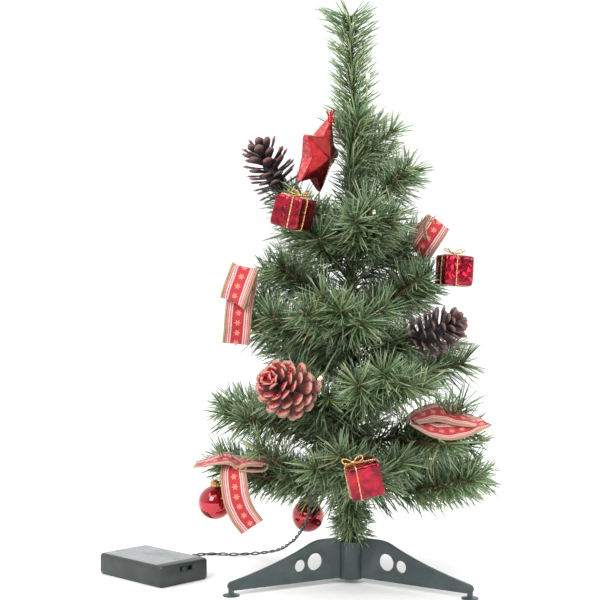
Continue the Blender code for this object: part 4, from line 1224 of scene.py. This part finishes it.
bows = {
    "ribbon_left_low": {
        "limb": "branch_03_limb",
        "knot": (-0.0895, -0.0290, 0.0940),
        "strips": [
            {
                "name": "tail", "cup": 0.0012, "ripple": 0.0004,
                "route": [
                    (-0.0900, -0.0275, 0.0945), (-0.0925, -0.0325, 0.0915), (-0.0918, -0.0360, 0.0800),
                    (-0.0900, -0.0355, 0.0687), (-0.0853, -0.0335, 0.0570), (-0.0780, -0.0320, 0.0470),
                ],
                "across": [
                    (0.9, -0.35, 0.1), (0.95, -0.2, 0.1), (0.95, -0.12, 0.1), (0.93, -0.1, 0.25),
                    (0.9, -0.2, 0.4),
                ],
            },
            {
                "name": "loop", "cup": 0.0006, "ripple": 0.0003,
                "route": [
                    (-0.0895, -0.0270, 0.0950), (-0.0840, -0.0275, 0.0985), (-0.0740, -0.0280, 0.0990),
                    (-0.0668, -0.0285, 0.0965), (-0.0690, -0.0285, 0.0935), (-0.0780, -0.0285, 0.0925),
                    (-0.0880, -0.0280, 0.0940),
                ],
                "across": [(0.0, -0.94, -0.33), (0.0, -0.94, -0.33), (0.1, -0.93, -0.2), (0.0, -0.94, -0.25)],
            },
            {
                "name": "short_tail", "cup": 0.0008, "ripple": 0.0003,
                "route": [
                    (-0.0890, -0.0270, 0.0948), (-0.0960, -0.0275, 0.0990), (-0.1050, -0.0280, 0.0985),
                    (-0.1150, -0.0270, 0.0955), (-0.1235, -0.0265, 0.0940),
                ],
                "across": [(0.0, -0.92, -0.38), (0.1, -0.95, -0.3), (0.1, -0.97, -0.15), (0.1, -0.98, -0.05)],
            },
        ],
    },
    "ribbon_left_high": {
        "limb": "branch_14_limb",
        "knot": (-0.0850, -0.0180, 0.2300),
        "strips": [
            {
                "name": "tail", "cup": 0.0012, "ripple": 0.0005,
                "route": [
                    (-0.0862, -0.0165, 0.2330), (-0.0885, -0.0200, 0.2225), (-0.0900, -0.0215, 0.2100),
                    (-0.0908, -0.0200, 0.2000), (-0.0920, -0.0185, 0.1895),
                ],
                "across": [(0.97, 0.05, 0.2), (0.98, 0.05, 0.14), (0.98, 0.1, 0.1), (0.98, 0.1, 0.12)],
            },
            {
                "name": "loop", "cup": 0.0008, "ripple": 0.0004,
                "route": [
                    (-0.0872, -0.0165, 0.2290), (-0.0860, -0.0150, 0.2400), (-0.0842, -0.0185, 0.2490),
                    (-0.0845, -0.0245, 0.2495), (-0.0880, -0.0285, 0.2400), (-0.0918, -0.0285, 0.2290),
                    (-0.0935, -0.0250, 0.2225), (-0.0905, -0.0205, 0.2255), (-0.0870, -0.0180, 0.2300),
                ],
                "across": [
                    (0.98, -0.05, -0.1), (0.95, -0.05, -0.2), (0.90, -0.12, -0.38), (0.84, -0.1, -0.5),
                    (0.90, 0.0, -0.4),
                ],
            },
        ],
    },
    "ribbon_right_high": {
        "limb": "branch_19_limb",
        "knot": (0.0605, 0.0150, 0.2700),
        "strips": [
            {
                "name": "tail", "cup": 0.0010, "ripple": 0.0004,
                "route": [
                    (0.0556, 0.0180, 0.2618), (0.0574, 0.0112, 0.2652), (0.0622, 0.0062, 0.2728),
                    (0.0680, 0.0050, 0.2815), (0.0722, 0.0075, 0.2880),
                ],
                "across": [(0.6, -0.2, -0.7), (0.74, -0.1, -0.62), (0.80, 0.0, -0.60), (0.78, 0.1, -0.62)],
            },
            {
                "name": "loop", "cup": 0.0006, "ripple": 0.0003,
                "route": [
                    (0.0590, 0.0160, 0.2690), (0.0560, 0.0120, 0.2740), (0.0555, 0.0115, 0.2830),
                    (0.0600, 0.0135, 0.2885), (0.0640, 0.0165, 0.2830), (0.0620, 0.0175, 0.2750),
                    (0.0600, 0.0170, 0.2700),
                ],
                "across": [(0.4, -0.85, 0.2), (0.5, -0.8, 0.2), (0.4, -0.85, 0.1), (0.3, -0.9, 0.1)],
            },
        ],
    },
    "ribbon_right_low": {
        "limb": "branch_07_limb",
        "knot": (0.0700, -0.0470, 0.1270),
        "strips": [
            {
                "name": "lower", "cup": 0.0010, "ripple": 0.0004,
                "route": [
                    (0.1020, -0.0500, 0.1300), (0.0930, -0.0520, 0.1280), (0.0790, -0.0540, 0.1245),
                    (0.0660, -0.0550, 0.1240), (0.0530, -0.0540, 0.1275), (0.0440, -0.0530, 0.1305),
                ],
                "across": [
                    (0.05, -0.97, -0.2), (0.05, -0.85, -0.5), (0.0, -0.8, -0.6), (0.0, -0.85, -0.5),
                    (0.05, -0.97, -0.2),
                ],
            },
            {
                "name": "upper", "cup": 0.0010, "ripple": 0.0004,
                "route": [
                    (0.0440, -0.0490, 0.1315), (0.0530, -0.0450, 0.1355), (0.0645, -0.0430, 0.1380),
                    (0.0760, -0.0430, 0.1355), (0.0870, -0.0445, 0.1325), (0.0960, -0.0465, 0.1305),
                ],
                "across": [
                    (0.05, -0.95, -0.25), (0.1, -0.84, -0.5), (0.0, -0.8, -0.6), (0.0, -0.85, -0.5),
                    (0.0, -0.95, -0.25),
                ],
            },
        ],
    },
}


def addBow(name):
    bow = bows[name]
    limb = bow["limb"]
    for number, part in enumerate(bow["strips"]):
        points, faces, uv, line = strip(part["route"], part["across"], part["cup"], part["ripple"])
        length = lengthOf(line)
        pieceName = name + "_" + part["name"]
        mesh = meshFrom(pieceName, points, faces, uv)
        held = mesh.attributes.new("stripLength", "FLOAT", "POINT")
        held.data.foreach_set("value", np.full(len(points), length, np.float32))
        piece = addPiece(pieceName, mesh, limb, ribbonCloth, [name] if number == 0 else ())
        print("%s: %.0f x %.0f mm" % (pieceName, 1000 * ribbon["width"], 1000 * length))
    knot = np.array(bow["knot"])
    root, tip = limbLine(limb.replace("_limb", ""))
    aim = unit(tip - root)
    nearest = root + aim * float((knot - root) @ aim)
    tie = evenRoute([knot + (0.0, -0.0035, 0.0), knot + (0.002, 0.0, 0.002), nearest], 0.0008)
    rings = []
    for turn in range(3):
        angle = np.linspace(0.0, math.tau, 17)
        ring = knot + np.stack(
            [0.0022 * np.cos(angle), 0.0034 * np.sin(angle), 0.0007 * (turn - 1) + 0.0003 * np.sin(angle)], 1
        )
        rings.append(tube(ring, 0.0004, 6))
    points, faces, _ = gathered([tube(tie, 0.0004, 6), *rings])
    addPiece(name + "_tie", meshFrom(name + "_tie", points, faces), limb, goldFoil)


for name in bows:
    addBow(name)


# Lights: warm white lamps on short wires, and the wire wound on the pole

lamps = {
    "radius": 0.0016,
    "length": 0.0042,
    "places": [  # body, where the lamp is, where its wire comes from
        ("stand", (0.0130, -0.0110, 0.4010), (0.0020, -0.0040, 0.3350)),
        ("branch_14_limb", (-0.0800, -0.0130, 0.1990), (-0.0300, -0.0020, 0.1890)),
        ("branch_14_limb", (-0.0845, -0.0120, 0.1925), (-0.0300, -0.0020, 0.1890)),
        ("branch_15_limb", (-0.0250, -0.0560, 0.1650), (-0.0050, -0.0300, 0.1960)),
        ("branch_10_limb", (0.0250, -0.0700, 0.1560), (0.0150, -0.0400, 0.1480)),
        ("branch_21_limb", (0.0150, -0.0500, 0.2900), (0.0070, -0.0240, 0.2700)),
        ("branch_17_limb", (0.0480, 0.0060, 0.2350), (0.0250, 0.0000, 0.2220)),
        ("branch_08_limb", (-0.0830, 0.0230, 0.1400), (-0.0400, 0.0110, 0.1260)),
        ("branch_16_limb", (0.0260, 0.0600, 0.2300), (0.0150, 0.0330, 0.2120)),
        ("branch_12_limb", (-0.0300, 0.0650, 0.1850), (-0.0180, 0.0350, 0.1680)),
        ("branch_04_limb", (0.0520, 0.0650, 0.0960), (0.0280, 0.0350, 0.0850)),
        ("branch_07_limb", (0.0750, -0.0260, 0.1290), (0.0400, -0.0160, 0.1150)),
        ("branch_03_limb", (-0.0850, -0.0050, 0.0880), (-0.0450, -0.0040, 0.0800)),
        ("branch_05_limb", (0.0080, -0.0620, 0.0960), (0.0030, -0.0300, 0.0880)),
        ("branch_18_limb", (-0.0500, 0.0340, 0.2520), (-0.0250, 0.0150, 0.2300)),
    ],
}


def lampFinish():
    finish, tree, shader = newFinish("lampGlass")
    place = node(tree, "TexCoord").outputs["Object"]
    drift = noise(tree, place, 900.0, 2.0)
    tree.links.new(
        ramp(tree, drift, [(0.3, linear(250, 232, 196)), (0.7, linear(255, 246, 226))]),
        shader.inputs["Base Color"],
    )
    shader.inputs["Roughness"].default_value = 0.15
    shader.inputs["Emission Color"].default_value = (1.0, 0.86, 0.62, 1.0)
    shader.inputs["Emission Strength"].default_value = 0.9
    return finish


lampGlass = lampFinish()


def addLamps():
    rng = np.random.default_rng(17)
    for number, (body, place, source) in enumerate(lamps["places"]):
        place, source = np.array(place), np.array(source)
        aim = unit(place - source + (0.0, 0.0, 0.01))
        radius, length = lamps["radius"], lamps["length"]
        bulb = [
            (0.0, -0.0004), (radius * 0.8, -0.0002), (radius, 0.0004), (radius, length * 0.6),
            (radius * 0.8, length * 0.85),
                (radius * 0.4, length * 0.98), (0.0, length)]
        points, faces = turned(bulb, place, aim, 16)
        addPiece("lamp_%02d" % (number + 1), meshFrom("lamp", points, faces), body, lampGlass)
        socket = turned(
            [(0.0, -0.0042), (0.0010, -0.0040), (0.0014, -0.0030), (0.0015, 0.0), (0.0, 0.0003)], place, aim,
            12,
        )
        middle = (place + source) / 2 + rng.normal(0.0, 0.004, 3)
        wire = evenRoute(
            [source, source * 0.6 + middle * 0.4 + rng.normal(0.0, 0.003, 3), middle, place - aim * 0.004],
            0.0012,
        )
        pair = twistedPair(wire, 0.00036, 0.00045, 0.006, 5)
        points, faces, _ = gathered([socket, pair[:2]])
        addPiece(
            "lamp_wire_%02d" % (number + 1), meshFrom("lamp_wire", points, faces), body, paleWire,
        )
    heights = np.linspace(string["low"], string["high"], 260)
    angles = np.radians(string["start"] + 360.0 * (heights - string["low"]) / string["pitch"])
    around = poleRadius + gap + string["radius"]
    line = np.stack([around * np.cos(angles), around * np.sin(angles), heights], 1)
    points, faces, _ = twistedPair(line, 0.00042, 0.00046, 0.0060, 6)
    addPiece(
        "string_pair", meshFrom("string_pair", points, faces), "stand", greenWire,
        ["light_string"],
    )
    print("lamps:", len(lamps["places"]))


addLamps()


# Stand, case and what is inside it: the CAD shapes with their edges eased

def eased(name, body, finish, width):
    # The CAD shape again, with its loose triangles joined, its flat faces made whole and edges rounded.
    mesh = nodes[name].data.copy()
    mesh.materials.clear()
    shape = bmesh.new()
    shape.from_mesh(mesh)
    bmesh.ops.remove_doubles(shape, verts=shape.verts[:], dist=1e-6)
    flat = math.radians(1.0)
    bmesh.ops.dissolve_limit(shape, angle_limit=flat, verts=shape.verts[:], edges=shape.edges[:])
    shape.to_mesh(mesh)
    shape.free()
    piece = addPiece(name + "_moulding", mesh, body, finish, [name])
    bevel = piece.modifiers.new("edges", "BEVEL")
    bevel.width, bevel.segments, bevel.limit_method = width, 2, "ANGLE"
    bevel.angle_limit = math.radians(32.0)
    bevel.harden_normals = True
    mesh.shade_smooth()
    return piece


def dress(finish, *names):
    # Gives CAD nodes that stay as they are their finish.
    for name in names:
        for slot in nodes[name].material_slots:
            slot.material = finish


cellJacket = mottled(
    "cellJacket", [linear(28, 40, 34), linear(36, 52, 44), linear(46, 62, 52)], 120.0, (0.25, 0.4),
    metallic=0.3,
)
boardGreen = mottled(
    "boardGreen", [linear(24, 70, 40), linear(34, 88, 52)], 300.0, (0.35, 0.5), bump=(2000.0, 0.3, 0.0002)
)


def addStand():
    for name in ("leg_left", "leg_right", "leg_rear"):
        eased(name, "stand", standPlastic, 0.0005)
    eased("hub", "stand", standPlastic, 0.0004)
    eased("battery_case", "stand", casePlastic, 0.0003)
    # The cover's light grey is painted reflection.
    eased("battery_cover", "cover", coverPaintedReflection, 0.00025)
    dress(trunkTape, "trunk_pole")
    dress(casePlastic, "switch_knob")
    dress(nickel, "cover_screw_1", "cover_screw_2", "flat_contacts", "spring_contacts")
    dress(cellJacket, "cell_1", "cell_2", "cell_3")
    dress(boardGreen, "switch_board")
    dress(rubber, "lead_grommet")


addStand()


# Studio: a plain pale floor under soft light

def addStudio():
    scene = bpy.context.scene
    scene.view_settings.view_transform = "Standard"
    scene.view_settings.look = "None"
    world = bpy.data.worlds.new("studio")
    world.use_nodes = True
    # Bright behind and above; darker on the near side, so that gloss and foil have something dark to mirror.
    sky = world.node_tree
    way = node(sky, "SeparateXYZ", {"Vector": node(sky, "TexCoord").outputs["Generated"]}).outputs
    back = mapped(sky, way["Y"], -0.85, -0.35, 0.3, 1.15)
    above = mapped(sky, way["Z"], 0.35, 0.8, 0.0, 1.15)
    strength = maths(sky, "MAXIMUM", back, above)
    sky.links.new(strength, sky.nodes["Background"].inputs["Strength"])
    sky.nodes["Background"].inputs["Color"].default_value = (1.0, 1.0, 1.0, 1.0)
    scene.world = world
    bottom = cadBox[0].z
    reach = 80.0
    corners = np.array(
        [(-reach, -reach, bottom), (reach, -reach, bottom), (reach, reach, bottom), (-reach, reach, bottom)]
    )
    floor = bpy.data.objects.new(
        "floor", meshFrom("floor", corners, [np.array([[0, 1, 2, 3]])], flatFaces=True)
    )
    floor.data.materials.append(mottled("paleFloor", [(0.84,) * 3, (0.86,) * 3], 2.0, (0.6, 0.7)))
    scene.collection.objects.link(floor)
    overhead = bpy.data.lights.new("overhead", "SUN")
    overhead.energy, overhead.angle = 1.1, math.radians(50.0)
    light = bpy.data.objects.new("overhead", overhead)
    light.rotation_euler = (math.radians(24.0), math.radians(-14.0), 0.0)
    scene.collection.objects.link(light)
    softboxes = {
        "key": ((-0.8, -1.5, 1.1), 0.8, 24.0),
        "fill": ((1.3, -1.0, 0.8), 0.8, 12.0),
        "rim": ((0.5, 1.5, 1.3), 1.0, 8.0),
    }
    for name, (place, size, power) in softboxes.items():
        data = bpy.data.lights.new(name, "AREA")
        data.size = size
        data.energy = power
        light = bpy.data.objects.new(name, data)
        light.location = place
        aim = np.array((0.0, 0.0, 0.2)) - np.array(place)
        light.rotation_euler = Euler(
            (math.acos(-aim[2] / np.linalg.norm(aim)), 0.0, math.atan2(-aim[0], aim[1]))
        )
        scene.collection.objects.link(light)


addStudio()
